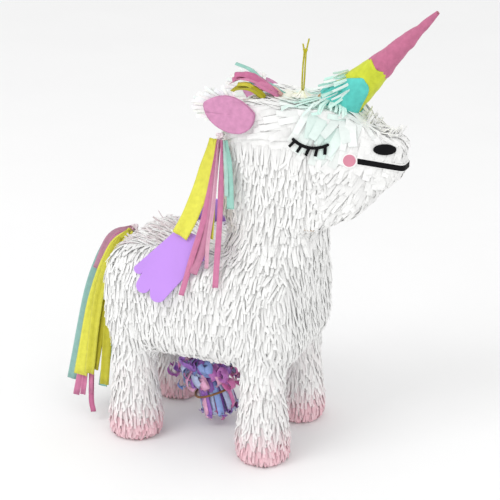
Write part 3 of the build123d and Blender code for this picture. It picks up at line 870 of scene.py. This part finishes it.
def build_ear(side, paper, white):
    """A creased pink leaf with a rolled rim, and white strips that stand out behind it."""
    sign = -1 if side == "right" else 1
    low, high = box(side + "_ear_lining")
    face_y = low.y if sign < 0 else high.y
    middle, angles, radii = ear_outline(side + "_ear_card", 64)
    rings = 12
    grid = np.zeros((rings, len(angles) + 1, 3))
    normals = np.zeros_like(grid)
    for i in range(rings):
        share = (i + 0.02) / (rings - 1)
        for j in range(len(angles) + 1):
            angle, radius = angles[j % len(angles)], radii[j % len(angles)] * share
            x = middle[0] + math.cos(angle) * radius
            z = middle[1] + math.sin(angle) * radius
            crease = noise.fractal(Vector((x * 0.10, z * 0.16, sign)), 0.9, 2.0, 3)
            rim = 0.6 * smooth_step((share - 0.8) / 0.2)
            stand = 0.9 + 0.7 * crease * (1 - 0.5 * share) + rim
            grid[i, j] = (x * MM, (face_y + sign * stand) * MM, z * MM)
            normals[i, j] = (0, sign, 0)
    lining = Sheets()
    outward_order = -1 if sign < 0 else 1
    lining.add(grid[:, ::outward_order], normals[:, ::outward_order], 1.2 * MM, EAR_PINK)
    data = smooth_shaded(lining.mesh(side + "_ear_leaf"))
    add_piece(side + "_ear_leaf", data, paper, "body", "pink_tissue", side + "_ear_lining")

    rng = random.Random(21)
    strips = Sheets()
    card_low, card_high = box(side + "_ear_card")
    card_y = (card_low.y + card_high.y) / 2
    middle, angles, radii = ear_outline(side + "_ear_card", 120)
    for angle, radius in zip(angles, radii):
        outward = Vector((math.cos(angle), 0, math.sin(angle)))
        back_share = smooth_step((0.35 - outward.x) / 0.8) * smooth_step((outward.z + 0.45) / 0.5)
        if back_share < 0.08:
            continue
        length = rng.uniform(2, 5) + 15 * back_share * rng.uniform(0.6, 1.1)
        root = Vector((middle[0], card_y, middle[1])) + outward * (radius - 6)
        lean = Vector((-0.75 * back_share, sign * rng.uniform(-0.12, 0.2), 0.05))
        way = (outward + lean).normalized()
        across = way.cross(Vector((0, 1, 0))).normalized()
        facing = Vector((0, sign, 0))
        stand = sign * rng.uniform(0.4, 1.2)
        droop = rng.uniform(0.5, 5.0) * back_share
        centre = []
        for i in range(5):
            share = i / 4
            point = root + way * (length + 6) * share + Vector((0, stand, -droop * share * share))
            point += facing * (rng.uniform(0.0, 1.2) * share - 2.2)
            centre.append(np.array(point * MM))
        path_sheet(strips, centre, [np.array(across)] * 5, [np.array(facing)] * 5,
                   [rng.uniform(2.6, 4.0) * MM] * 5, PAPER * MM,
                   tuple(c * rng.uniform(0.95, 1.03) for c in WHITE))
    add_piece(side + "_ear_strips", strips.mesh(side + "_ear_strips"), white, "body", "white_tissue")


# ---- face --------------------------------------------------------------------------------------
SINK = 0.35                    # a border lies this much deeper than its sticker


def sticker_border(node, grow, name, material):
    """A slightly larger, slightly lower copy of a face sticker, seen as its pale rim."""
    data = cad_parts[node].data.copy()
    data.transform(Matrix.Translation(-FEET))
    mesh = bmesh.new()
    mesh.from_mesh(data)
    bmesh.ops.remove_doubles(mesh, verts=mesh.verts, dist=0.02 * MM)
    left = set(mesh.verts)
    while left:
        island, front = [], [left.pop()]
        while front:
            vert = front.pop()
            island.append(vert)
            for edge in vert.link_edges:
                other = edge.other_vert(vert)
                if other in left:
                    left.discard(other)
                    front.append(other)
        low_x = min(v.co.x for v in island)
        high_x = max(v.co.x for v in island)
        middle_z = {}
        for vert in island:
            key = round((vert.co.x - low_x) / (high_x - low_x + 1e-9) * 12)
            middle_z.setdefault(key, []).append(vert.co.z)
        for vert in island:
            key = round((vert.co.x - low_x) / (high_x - low_x + 1e-9) * 12)
            centre_z = (min(middle_z[key]) + max(middle_z[key])) / 2
            vert.co.z += math.copysign(grow * MM, vert.co.z - centre_z) if vert.co.z != centre_z else 0
            if vert.co.x < low_x + 2.5 * MM:
                vert.co.x -= grow * MM
            vert.co.y -= math.copysign(SINK * MM, vert.co.y)
            if vert.co.x > MUZZLE_FRONT_X * MM:
                vert.co.x -= SINK * MM
    mesh.to_mesh(data)
    mesh.free()
    data.name = name
    add_piece(name, data, material, "body", "white_tissue")


def disc_border(node, grow, name, material):
    """A larger, thinner disc behind each cheek disc."""
    points, _ = cad_arrays([node])
    sheets = Sheets()
    for sign in (-1, 1):
        side = points[points[:, 1] * sign > 0] / MM
        low, high = side.min(axis=0), side.max(axis=0)
        middle = (low + high) / 2
        radius = (high - low)[[0, 2]] / 2 + grow
        slope = ((high - low)[1] - 1.2) / (high - low)[0]
        grid = np.zeros((3, 41, 3))
        normals = np.zeros((3, 41, 3))
        facing = Vector((slope, sign, 0)).normalized()
        for i, share in enumerate((0.02, 0.7, 1.0)):
            for j in range(41):
                angle = 2 * math.pi * (j % 40) / 40 * -sign
                x = radius[0] * share * math.cos(angle)
                z = radius[1] * share * math.sin(angle)
                y = -sign * slope * x
                point = Vector((middle[0] + x, middle[1] + y, middle[2] + z)) + facing * 0.25
                grid[i, j] = point * MM
                normals[i, j] = facing
        sheets.add(grid, normals, 0.5 * MM, WHITE)
    add_piece(name, sheets.mesh(name), material, "body", "white_tissue")


# ---- streamers ---------------------------------------------------------------------------------
def smooth_curve(points, count):
    """Points of a smooth curve through the given points (Catmull-Rom)."""
    extended = [points[0] * 2 - points[1]] + list(points) + [points[-1] * 2 - points[-2]]
    curve = []
    spans = len(points) - 1
    for k in range(count):
        place = k / (count - 1) * spans
        i = min(int(place), spans - 1)
        u = place - i
        p0, p1, p2, p3 = extended[i:i + 4]
        curve.append(0.5 * ((2 * p1) + (p2 - p0) * u + (2 * p0 - 5 * p1 + 4 * p2 - p3) * u * u
                            + (3 * p1 - p0 - 3 * p2 + p3) * u * u * u))
    return curve


def streamer(sheets, points, width, face, tint, seed, rows=26, fold=1.1, taper=0.45):
    """A creased strip of crepe through points in millimetres; it starts pinched and opens out."""
    rng = random.Random(seed)
    centre = smooth_curve([Vector(p) for p in points], rows)
    face = Vector(face).normalized()
    phases = [rng.uniform(0, 6.28) for _ in range(3)]
    lengths = [rng.uniform(0.8, 1.3) for _ in range(2)]
    across, facing, widths = [], [], []
    for i in range(rows):
        ahead = centre[min(i + 1, rows - 1)] - centre[max(i - 1, 0)]
        along = ahead.normalized()
        side = along.cross(face).normalized()
        across.append(np.array(side))
        facing.append(np.array(side.cross(along).normalized()))
        share = i / (rows - 1)
        widths.append(width * MM * (taper + (1 - taper) * smooth_step(share * 3.2)))
    places = [np.array(point) * MM for point in centre]

    def stand(i, j):
        share = j / (CREPE_COLUMNS - 1)
        crease = math.sin(share * 2 * math.pi * lengths[0] + phases[0] + 0.06 * i)
        crease += 0.45 * math.sin(share * 4 * math.pi * lengths[1] + phases[1] - 0.05 * i)
        rough = noise.noise(Vector((i * 0.22, j * 0.5, seed * 1.37)))
        pinch = 1.0 + 0.9 * (1 - smooth_step(i / rows * 4))
        return fold * MM * (0.55 * crease * pinch + 0.55 * rough)

    path_sheet(sheets, places, across, facing, widths, CREPE * MM, tint, CREPE_COLUMNS, stand)


def leaned(points):
    """Tail points turned about the knot so that the tail hangs to the right side."""
    knot = Vector((-112, 0, 247))
    turn = Matrix.Rotation(-TAIL_LEAN, 3, "X")
    return [knot + turn @ (Vector((x, y, z)) - knot) for x, y, z in points]


def build_tail(crepe):
    """Streamers that rise over the rump from one knot and fall behind it."""
    lean_face = Matrix.Rotation(-TAIL_LEAN, 3, "X") @ Vector((0, -1, 0))
    pink, mint, yellow = Sheets(), Sheets(), Sheets()

    def hang(sheets, centre, y, width, tint, seed, **shape):
        streamer(sheets, leaned([(x, y, z) for x, z in centre]), width, lean_face, tint, seed, **shape)

    outer = [(-112, 246), (-143, 227), (-158, 150), (-165, 62)]
    hang(pink, [(-112, 247), (-142, 229), (-157, 188)], -3, 13, MAUVE, 1, rows=16)
    hang(pink, [(-112, 249), (-136, 234), (-150, 205), (-153, 172)], 1, 11, mixed(MAUVE, PINK, 0.4), 2,
         rows=16)
    hang(pink, outer[:-1] + [(-172, 24)], 0, 9, PINK, 3)
    hang(pink, outer[:-1] + [(-162, 26)], -1, 7, PINK, 4)
    hang(pink, outer[:-1] + [(-152, 34), (-146, 6)], 1.5, 7, ROSE, 5)
    hang(pink, outer[:-1] + [(-150, 30)], -2, 5, PINK, 6)
    hang(mint, [(-113, 246), (-146, 226), (-169, 160), (-182, 42)], 5.5, 16, mixed(SLATE, MINT, 0.35), 11,
         fold=1.8)
    hang(mint, [(-113, 246), (-150, 222), (-170, 160), (-177, 44)], 8.5, 13, MINT, 12)
    hang(mint, [(-126, 232), (-133, 205), (-134, 150), (-139, 40)], 6.5, 12, mixed(MINT, TEAL, 0.2), 13)
    hang(yellow, [(-113, 244), (-136, 214), (-155, 150), (-165, 52)], -6, 18, YELLOW, 21, fold=2.2)
    hang(yellow, [(-116, 242), (-136, 210), (-149, 150), (-152, 56)], -8, 14, mixed(YELLOW, OLIVE, 0.35), 22,
         fold=2.0)
    hang(yellow, [(-124, 234), (-134, 205), (-139, 150), (-146, 62)], -6.5, 11, OLIVE, 23)
    hang(yellow, [(-127, 232), (-133, 205), (-132, 150), (-129, 46)], -9, 12, mixed(OLIVE, YELLOW, 0.3), 24)
    add_papers({"tail_pink": pink, "tail_mint": mint, "tail_yellow": yellow}, crepe, "tail", "_streamers")


def build_mane(crepe):
    """Streamers knotted behind the right ear that drape over the shoulder."""
    yellow, pink, mint = Sheets(), Sheets(), Sheets()
    out = (0, -1, 0)
    drape = ((388, -51), (330, -58), (268, -69), (240, -84.5), (212, -100))

    def y_at(z):
        heights = [h for h, _ in reversed(drape)]
        return float(np.interp(z, heights, [y for _, y in reversed(drape)]))

    def hang(sheets, line, width, tint, seed, off=0.0, **shape):
        points = [(x, y_at(z) - off, z) for x, z in line]
        streamer(sheets, points, width, out, tint, seed, **shape)

    hang(yellow, [(20, 390), (11, 345), (-4, 300), (-17, 273)], 20, YELLOW, 31, 0.6, fold=1.4, taper=0.5)
    hang(yellow, [(22, 390), (21, 345), (21, 300), (21, 274)], 9, mixed(YELLOW, OLIVE, 0.25), 32, -0.6)
    hang(pink, [(26, 390), (13, 300), (3, 250), (-1, 213)], 7, PINK, 33, 1.6)
    hang(pink, [(27, 390), (19, 310), (13, 262), (8, 236)], 10, mixed(MAUVE, PINK, 0.5), 34, 0.6)
    hang(pink, [(30, 390), (32, 320), (34, 258), (39, 226)], 7, PINK, 35, 1.4)
    hang(pink, [(27, 390), (24, 320), (20, 270), (24, 244)], 5, mixed(PINK, WHITE, 0.25), 36, 2.4)
    hang(mint, [(35, 390), (41, 350), (45, 312)], 8.5, MINT, 37, 0.4)
    hang(mint, [(33, 390), (37, 355), (39, 326)], 5, mixed(MINT, WHITE, 0.2), 38, 1.2)
    add_papers({"mane_yellow": yellow, "mane_pink": pink, "mane_mint": mint}, crepe, "mane", "_streamers")


def build_crest(crepe):
    """Rolled ends of crepe that stand on the poll."""
    crown = 437
    mint, pink, yellow = Sheets(), Sheets(), Sheets()
    up = (0, -0.2, 1)
    streamer(mint, [(84, -3, crown + 1), (62, -3, crown + 13), (44, -2, crown + 25), (27, -4, crown + 31)],
             7, up, MINT, 41, fold=0.9)
    streamer(mint, [(86, 1, crown), (66, 1, crown + 9), (46, 0, crown + 10), (34, 2, crown + 3)],
             9, up, mixed(MINT, TEAL, 0.25), 42, fold=1.2)
    streamer(pink, [(84, -15, crown), (66, -15, crown + 12), (45, -16, crown + 19), (27, -17, crown + 13)],
             17, up, PINK, 43, fold=2.4)
    streamer(pink, [(80, -12, crown + 1), (60, -12, crown + 15), (44, -13, crown + 21),
                    (30, -14, crown + 20)], 13, up, ROSE, 44, fold=2.4)
    streamer(pink, [(86, -9, crown), (74, -9, crown + 7), (60, -10, crown + 5)],
             9, up, mixed(PINK, LEMON_WASH, 0.35), 45, fold=1.6, rows=14)
    streamer(yellow, [(72, -27, crown), (58, -27, crown + 9), (42, -28, crown + 9), (30, -29, crown + 2)],
             13, up, OLIVE, 46, fold=1.8)
    streamer(yellow, [(66, -25, crown), (52, -24, crown + 12), (38, -25, crown + 12)],
             8, up, mixed(YELLOW, OLIVE, 0.4), 47, fold=1.6, rows=16)
    add_papers({"crest_mint": mint, "crest_pink": pink, "crest_yellow": yellow}, crepe, "body", "_roll")


# ---- round-section work: cord, knots, rubber band ----------------------------------------------
def tube(sheets, centre, radius, tint, sides=8, closed=False):
    """A tube through centre points in millimetres, capped unless it is a loop."""
    count = len(centre)
    ring = []
    reference = Vector((0.13, 0.96, 0.21))
    for i in range(count):
        before = centre[(i - 1) % count] if closed else centre[max(i - 1, 0)]
        after = centre[(i + 1) % count] if closed else centre[min(i + 1, count - 1)]
        along = (after - before).normalized()
        side = along.cross(reference)
        side = side.normalized() if side.length > 1e-3 else along.orthogonal().normalized()
        up = side.cross(along).normalized()
        for k in range(sides):
            angle = 2 * math.pi * k / sides
            ring.append((centre[i] + (side * math.cos(angle) + up * math.sin(angle)) * radius) * MM)
    base = sheets.count
    faces = []
    for i in range(count if closed else count - 1):
        for k in range(sides):
            a = base + i * sides + k
            b = base + i * sides + (k + 1) % sides
            c = base + ((i + 1) % count) * sides + (k + 1) % sides
            d = base + ((i + 1) % count) * sides + k
            faces.append((a, d, c, b))
    if not closed:
        faces.append(tuple(base + k for k in range(sides)))
        faces.append(tuple(base + (count - 1) * sides + k for k in reversed(range(sides))))
    sheets.points.append(np.array(ring))
    sheets.faces.extend(faces)
    sheets.tints.append(np.tile((*tint, 1.0), (len(ring), 1)).astype(np.float32))
    sheets.count += len(ring)


def twisted(sheets, centre, radius, tint, turns):
    """A cord of three plies wound round a centre line."""
    plies = 3
    count = len(centre)
    for ply in range(plies):
        line = []
        for i in range(count):
            along = (centre[min(i + 1, count - 1)] - centre[max(i - 1, 0)]).normalized()
            side = along.cross(Vector((0.1, 1, 0))).normalized()
            up = side.cross(along)
            angle = 2 * math.pi * (turns * i / (count - 1) + ply / plies)
            line.append(centre[i] + (side * math.cos(angle) + up * math.sin(angle)) * radius * 0.5)
        tube(sheets, line, radius * 0.62, tint, 6)


def knot_line(centre, radius):
    """A trefoil that fits a ball, for a tied knot."""
    count = 70
    line = []
    for i in range(count):
        t = 2 * math.pi * i / count
        x = math.sin(t) + 2 * math.sin(2 * t)
        y = math.cos(t) - 2 * math.cos(2 * t)
        z = -math.sin(3 * t)
        line.append(centre + Vector((x, z * 1.2, y)) * (radius / 3.9))
    return line


def build_knots(crepe, satin):
    for name, body, tint, slot, material in (
            ("mane_knot", "mane", mixed(WHITE, PINK, 0.25), "white_tissue", crepe),
            ("tail_knot", "tail", mixed(WHITE, MAUVE, 0.4), "white_tissue", crepe),
            ("ribbon_knot", "ribbon_bundle", VIOLET, "violet_ribbon", satin)):
        low, high = box(name)
        centre = (low + high) / 2
        radius = (high.x - low.x) / 2
        sheets = Sheets()
        tube(sheets, knot_line(centre, radius), radius * 0.34, tint, 10, closed=True)
        add_piece(name + "_tied", smooth_shaded(sheets.mesh(name + "_tied")), material, body, slot, name)


def build_cord(cord):
    """Two twisted strands to a knot, then two free ends, leaning a little forward at the top."""
    low, high = box("hanging_cord")
    x = (low.x + high.x) / 2
    foot, top = low.z, high.z
    knot_z = foot + 45.5
    lean = 2.2                 # the knot sits this far ahead of the cord's foot
    sheets = Sheets()
    for side in (-1, 1):
        line = []
        for i in range(30):
            share = i / 29
            line.append(Vector((x + side * (1.0 + 0.3 * math.sin(share * math.pi)) + lean * share ** 1.6,
                                side * 0.3 * math.sin(share * 4),
                                foot - 1.0 + (knot_z - foot + 1.0) * share)))
        twisted(sheets, line, 1.1, CORD_OLIVE, 9)
        ends = []
        for i in range(12):
            share = i / 11
            reach = (0.55 if side < 0 else 1.0) * (top - knot_z)
            ends.append(Vector((x + lean + side * (1.0 + 2.4 * share) + 0.8 * share, side * 0.6,
                                knot_z + reach * share)))
        twisted(sheets, ends, 1.0, CORD_OLIVE, 3)
    knot = knot_line(Vector((x + lean, 0, knot_z)), 3.0)
    tube(sheets, knot, 1.0, mixed(CORD_OLIVE, OLIVE, 0.5), closed=True)
    data = smooth_shaded(sheets.mesh("hanging_cord_twisted"))
    add_piece("hanging_cord_twisted", data, cord, "hanging_cord", "cord", "hanging_cord")


def build_cord_patch(white):
    """Torn tissue pulled up round the cord's hole."""
    low, high = box("cord_patch")
    middle = (low + high) / 2
    foot = low.z
    rng = random.Random(8)
    sheets = Sheets()
    for k in range(26):
        angle = 2 * math.pi * k / 26 + rng.uniform(-0.1, 0.1)
        outward = Vector((math.cos(angle), math.sin(angle), 0))
        across = Vector((-outward.y, outward.x, 0))
        reach = rng.uniform(10, 15)
        rise = rng.uniform(4.5, 8.0)
        centre, facing = [], []
        for i in range(6):
            share = i / 5
            radius = reach + (2.6 - reach) * share
            height = foot + 0.6 + rise * share ** 2.6
            centre.append(np.array((Vector((middle.x, middle.y, height)) + outward * radius) * MM))
            facing.append(np.array((Vector((0, 0, 1)) + outward * (0.4 + share)).normalized()))
        tint = mixed(WHITE, LEMON_WASH, rng.uniform(0.1, 0.6))
        path_sheet(sheets, centre, [np.array(across)] * 6, facing,
                   [w * MM for w in (5.0, 4.4, 3.6, 2.8, 2.0, 1.3)], PAPER * MM, tint)
    data = sheets.mesh("cord_patch_torn")
    add_piece("cord_patch_torn", data, white, "body", "white_tissue", "cord_patch")


# ---- pull ribbons ------------------------------------------------------------------------------
def bundle_point(radius, angle, down):
    """A point of the ribbon bundle in millimetres, from its knot, tilted as it hangs."""
    low, high = box("ribbon_knot")
    knot = (low + high) / 2
    local = Vector((radius * math.cos(angle), radius * math.sin(angle), -down))
    return knot + Matrix.Rotation(-BUNDLE_TILT, 3, "Y") @ local


def ribbon(sheets, line, outward, width, tint):
    """A ribbon along a line, its face turned outward, with a slight ridge along its middle."""
    rows = len(line)
    across, facing = [], []
    for i in range(rows):
        along = (line[min(i + 1, rows - 1)] - line[max(i - 1, 0)]).normalized()
        side = along.cross(outward)
        side = side.normalized() if side.length > 0.05 else along.orthogonal().normalized()
        if across and side.dot(Vector(across[-1])) < 0:
            side = -side
        across.append(np.array(side))
        facing.append(np.array(side.cross(along).normalized()))
    path_sheet(sheets, [np.array(p) * MM for p in line], across, facing, [width * MM] * rows,
               FOIL * MM, tint, 3, lambda i, j: 0.35 * MM if j == 1 else 0.0)


def curl_line(angle, start_r, start_d, end_r, end_d, loops, loop_r, rng):
    """A ribbon that runs outwards and rolls up at its end."""
    line = []
    steps = 12 + int(14 * loops)
    sway = rng.uniform(-0.25, 0.25)
    straight = 9
    for i in range(straight):
        share = i / (straight - 1)
        radius = start_r + (end_r - start_r) * math.sin(share * math.pi / 2)
        down = start_d + (end_d - start_d) * share ** 1.2
        line.append(bundle_point(radius, angle + sway * share, down))
    outward = (bundle_point(1, angle + sway, 0) - bundle_point(0, 0, 0)).normalized()
    axis_down = (bundle_point(0, 0, 1) - bundle_point(0, 0, 0)).normalized()
    ahead = (line[-1] - line[-2]).normalized()
    across = ahead.cross(outward)
    across = across.normalized() if across.length > 0.1 else ahead.orthogonal().normalized()
    turn_side = across.cross(ahead).normalized()
    if turn_side.dot(axis_down) * (1 if rng.random() < 0.5 else -1) < 0:
        turn_side = -turn_side
    centre = line[-1] + turn_side * loop_r
    drift = across * rng.uniform(-2.5, 2.5)
    for i in range(1, steps):
        share = i / (steps - 1)
        theta = share * 2 * math.pi * loops
        radius = loop_r * (1 - 0.35 * share)
        line.append(centre - turn_side * math.cos(theta) * radius + ahead * math.sin(theta) * radius
                    + drift * share)
    for point in line:
        if abs(point.y) > BUNDLE_FREE_Y:
            point.y = math.copysign(BUNDLE_FREE_Y + 0.3 * (abs(point.y) - BUNDLE_FREE_Y), point.y)
    return line, outward


def build_ribbons(satin):
    """Curls that fan out above the rubber band, and a skirt of straighter ends below it."""
    rng = random.Random(77)
    tints = {"pink": (RIBBON_PINK, mixed(RIBBON_PINK, WHITE, 0.3)), "blue": (BLUE, mixed(BLUE, WHITE, 0.35)),
             "violet": (RIBBON_VIOLET, mixed(RIBBON_VIOLET, RIBBON_PINK, 0.45))}
    piles = {name: Sheets() for name in tints}
    names = list(tints)
    for k in range(72):
        name = names[k % 3]
        angle = 2 * math.pi * (k * 0.382)
        backwards = 0.5 - 0.5 * math.cos(angle)
        height = rng.uniform(16, 52) + 12.0 * max(0.0, math.cos(angle))
        loop_r = rng.uniform(6.0, 10.0)
        end_r = rng.uniform(19, 31) - loop_r * 0.3 + 9.0 * backwards
        line, outward = curl_line(angle, 3, 8 + height * 0.3, end_r, height,
                                  rng.uniform(0.6, 1.2), loop_r, rng)
        ribbon(piles[name], line, outward, rng.uniform(7.5, 10.5), rng.choice(tints[name]))
    for k in range(44):
        name = names[(k * 2 + k // 5) % 3]
        angle = 2 * math.pi * (k * 0.382 + 0.1)
        start_r = rng.uniform(6, 20)
        end_r = min(start_r + rng.uniform(0, 9), 24)
        end_d = rng.uniform(80, 94)
        line, outward = curl_line(angle, start_r, rng.uniform(40, 52), end_r, end_d,
                                  rng.uniform(0.15, 0.6), rng.uniform(3.5, 6.0), rng)
        ribbon(piles[name], line, outward, rng.uniform(6.0, 8.5), rng.choice(tints[name]))
    for name, sheets in piles.items():
        curls = name + "_ribbon_curls"
        add_piece(curls, smooth_shaded(sheets.mesh(curls)), satin, "ribbon_bundle",
                  name + "_ribbon", name + "_ribbons")


def build_rubber_band(rubber):
    """A flat-sided band that follows the uneven bundle."""
    sheets = Sheets()
    line = []
    for i in range(64):
        angle = 2 * math.pi * i / 64
        radius = BAND_R + 0.5 * math.sin(3 * angle + 0.6)
        line.append(bundle_point(radius, angle, BAND_AT + 0.9 * math.sin(2 * angle)))
    tube(sheets, line, 1.4, (0.27, 0.13, 0.04), 8, closed=True)
    data = smooth_shaded(sheets.mesh("rubber_band_loop"))
    add_piece("rubber_band_loop", data, rubber, "rubber_band", "rubber_band", "rubber_band")


# ---- CAD nodes that stay in view ---------------------------------------------------------------
def dress_cad_nodes(card, pink_card, foam, black, blush, cord, tie):
    looks = {card: ["torso_shell", "trap_frame", "trap_door", "fill_flap", "neck_tube", "head_shell",
                    "foot_discs", "horn_cone"]
             + [leg + "_leg_tube" for leg in LEGS],
             foam: ["right_wing", "left_wing"], pink_card: ["right_ear_card", "left_ear_card"],
             black: ["right_eyelashes", "left_eyelashes", "nostrils", "mouth_strip"],
             blush: ["cheek_discs"], cord: ["cord_anchor"], tie: ["ribbon_anchor"]}
    for material, names in looks.items():
        for name in names:
            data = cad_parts[name].data
            data.materials.clear()
            data.materials.append(material)


# ---- stage, light and camera -------------------------------------------------------------------
def area_light(name, place, target, size, power):
    data = bpy.data.lights.new(name, "AREA")
    data.size = size
    data.energy = power
    lamp = bpy.data.objects.new(name, data)
    bpy.context.scene.collection.objects.link(lamp)
    lamp.location = place
    lamp.rotation_euler = (Vector(target) - Vector(place)).to_track_quat("-Z", "Y").to_euler()


def build_stage():
    mesh = bmesh.new()
    bmesh.ops.create_grid(mesh, x_segments=2, y_segments=2, size=12.0)
    data = bpy.data.meshes.new("floor")
    mesh.to_mesh(data)
    mesh.free()
    floor = bpy.data.objects.new("floor", data)
    bpy.context.scene.collection.objects.link(floor)
    paper = plain_noise_material("floor_paper", (0.92, 0.92, 0.92), 3.0, 0.01, 0.9, 40.0, 0.02)
    data.materials.append(paper)

    world = bpy.data.worlds.new("studio")
    bpy.context.scene.world = world
    world.use_nodes = True
    background = world.node_tree.nodes["Background"]
    background.inputs["Color"].default_value = (1.0, 1.0, 1.0, 1.0)
    background.inputs["Strength"].default_value = 0.92
    middle = (0, 0, 0.25)
    area_light("key", (-1.2, -2.0, 2.6), middle, 1.6, 30.0)
    area_light("fill", (2.4, -1.4, 1.6), middle, 2.2, 9.0)
    bpy.context.scene.view_settings.view_transform = "Standard"


def build_camera():
    """The studio camera: 23 degrees round to the head's side and 21 degrees up."""
    data = bpy.data.cameras.new("camera")
    data.sensor_width = 36.0
    data.lens = 100.8
    camera = bpy.data.objects.new("camera", data)
    bpy.context.scene.collection.objects.link(camera)
    azimuth, elevation, distance = math.radians(23), math.radians(21), 1.680
    target = FEET + Vector((0.043, 0, 0.240))
    back = Vector((math.sin(azimuth) * math.cos(elevation), -math.cos(azimuth) * math.cos(elevation),
                   math.sin(elevation)))
    camera.location = target + back * distance
    camera.rotation_euler = (-back).to_track_quat("-Z", "Y").to_euler()
    bpy.context.scene.camera = camera


def build():
    white = tissue_material("white_tissue_strips")
    backing = tissue_material("tissue_backing", root_shade=0.9)
    crepe = tissue_material("crepe_streamer", roughness=0.78, sheen=0.15, root_shade=0.9, crinkle=0.6,
                            mottle=0.09)
    paper = tissue_material("horn_and_ear_paper", roughness=0.74, sheen=0.1, root_shade=1.0, crinkle=0.7,
                            mottle=0.12)
    satin = satin_material("satin_ribbon")
    card = card_material()
    foam = plain_noise_material("lilac_foam_sheet", (0.52, 0.27, 0.80), 25.0, 0.05, 0.62, 900.0, 0.25)
    black = plain_noise_material("black_print", (0.006, 0.006, 0.007), 80.0, 0.3, 0.6, 600.0, 0.15,
                                 specular=0.08)
    blush = plain_noise_material("pink_print", (0.66, 0.25, 0.34), 90.0, 0.05, 0.6, 600.0, 0.15)
    print_white = plain_noise_material("white_print", (0.90, 0.90, 0.89), 90.0, 0.03, 0.6, 600.0, 0.15)
    cord = plain_noise_material("olive_cord", CORD_OLIVE, 700.0, 0.25, 0.8, 1500.0, 0.5)
    rubber = plain_noise_material("brown_rubber", (0.26, 0.12, 0.04), 200.0, 0.15, 0.5, 900.0, 0.3)
    tie = plain_noise_material("violet_tie", RIBBON_VIOLET, 500.0, 0.15, 0.5, 900.0, 0.2)
    pink_card = plain_noise_material("pink_card", EAR_PINK, 60.0, 0.06, 0.8, 500.0, 0.2)

    fringe = build_fringe(white, backing)
    build_horn(paper)
    build_loose_strips(white, fringe)
    for side in ("right", "left"):
        build_ear(side, paper, white)
    sticker_border("mouth_strip", 0.9, "mouth_border", print_white)
    disc_border("cheek_discs", 1.6, "cheek_borders", print_white)
    build_tail(crepe)
    build_mane(crepe)
    build_crest(crepe)
    build_knots(crepe, satin)
    build_cord(cord)
    build_cord_patch(white)
    build_ribbons(satin)
    build_rubber_band(rubber)
    dress_cad_nodes(card, pink_card, foam, black, blush, cord, tie)


build()
build_stage()
build_camera()
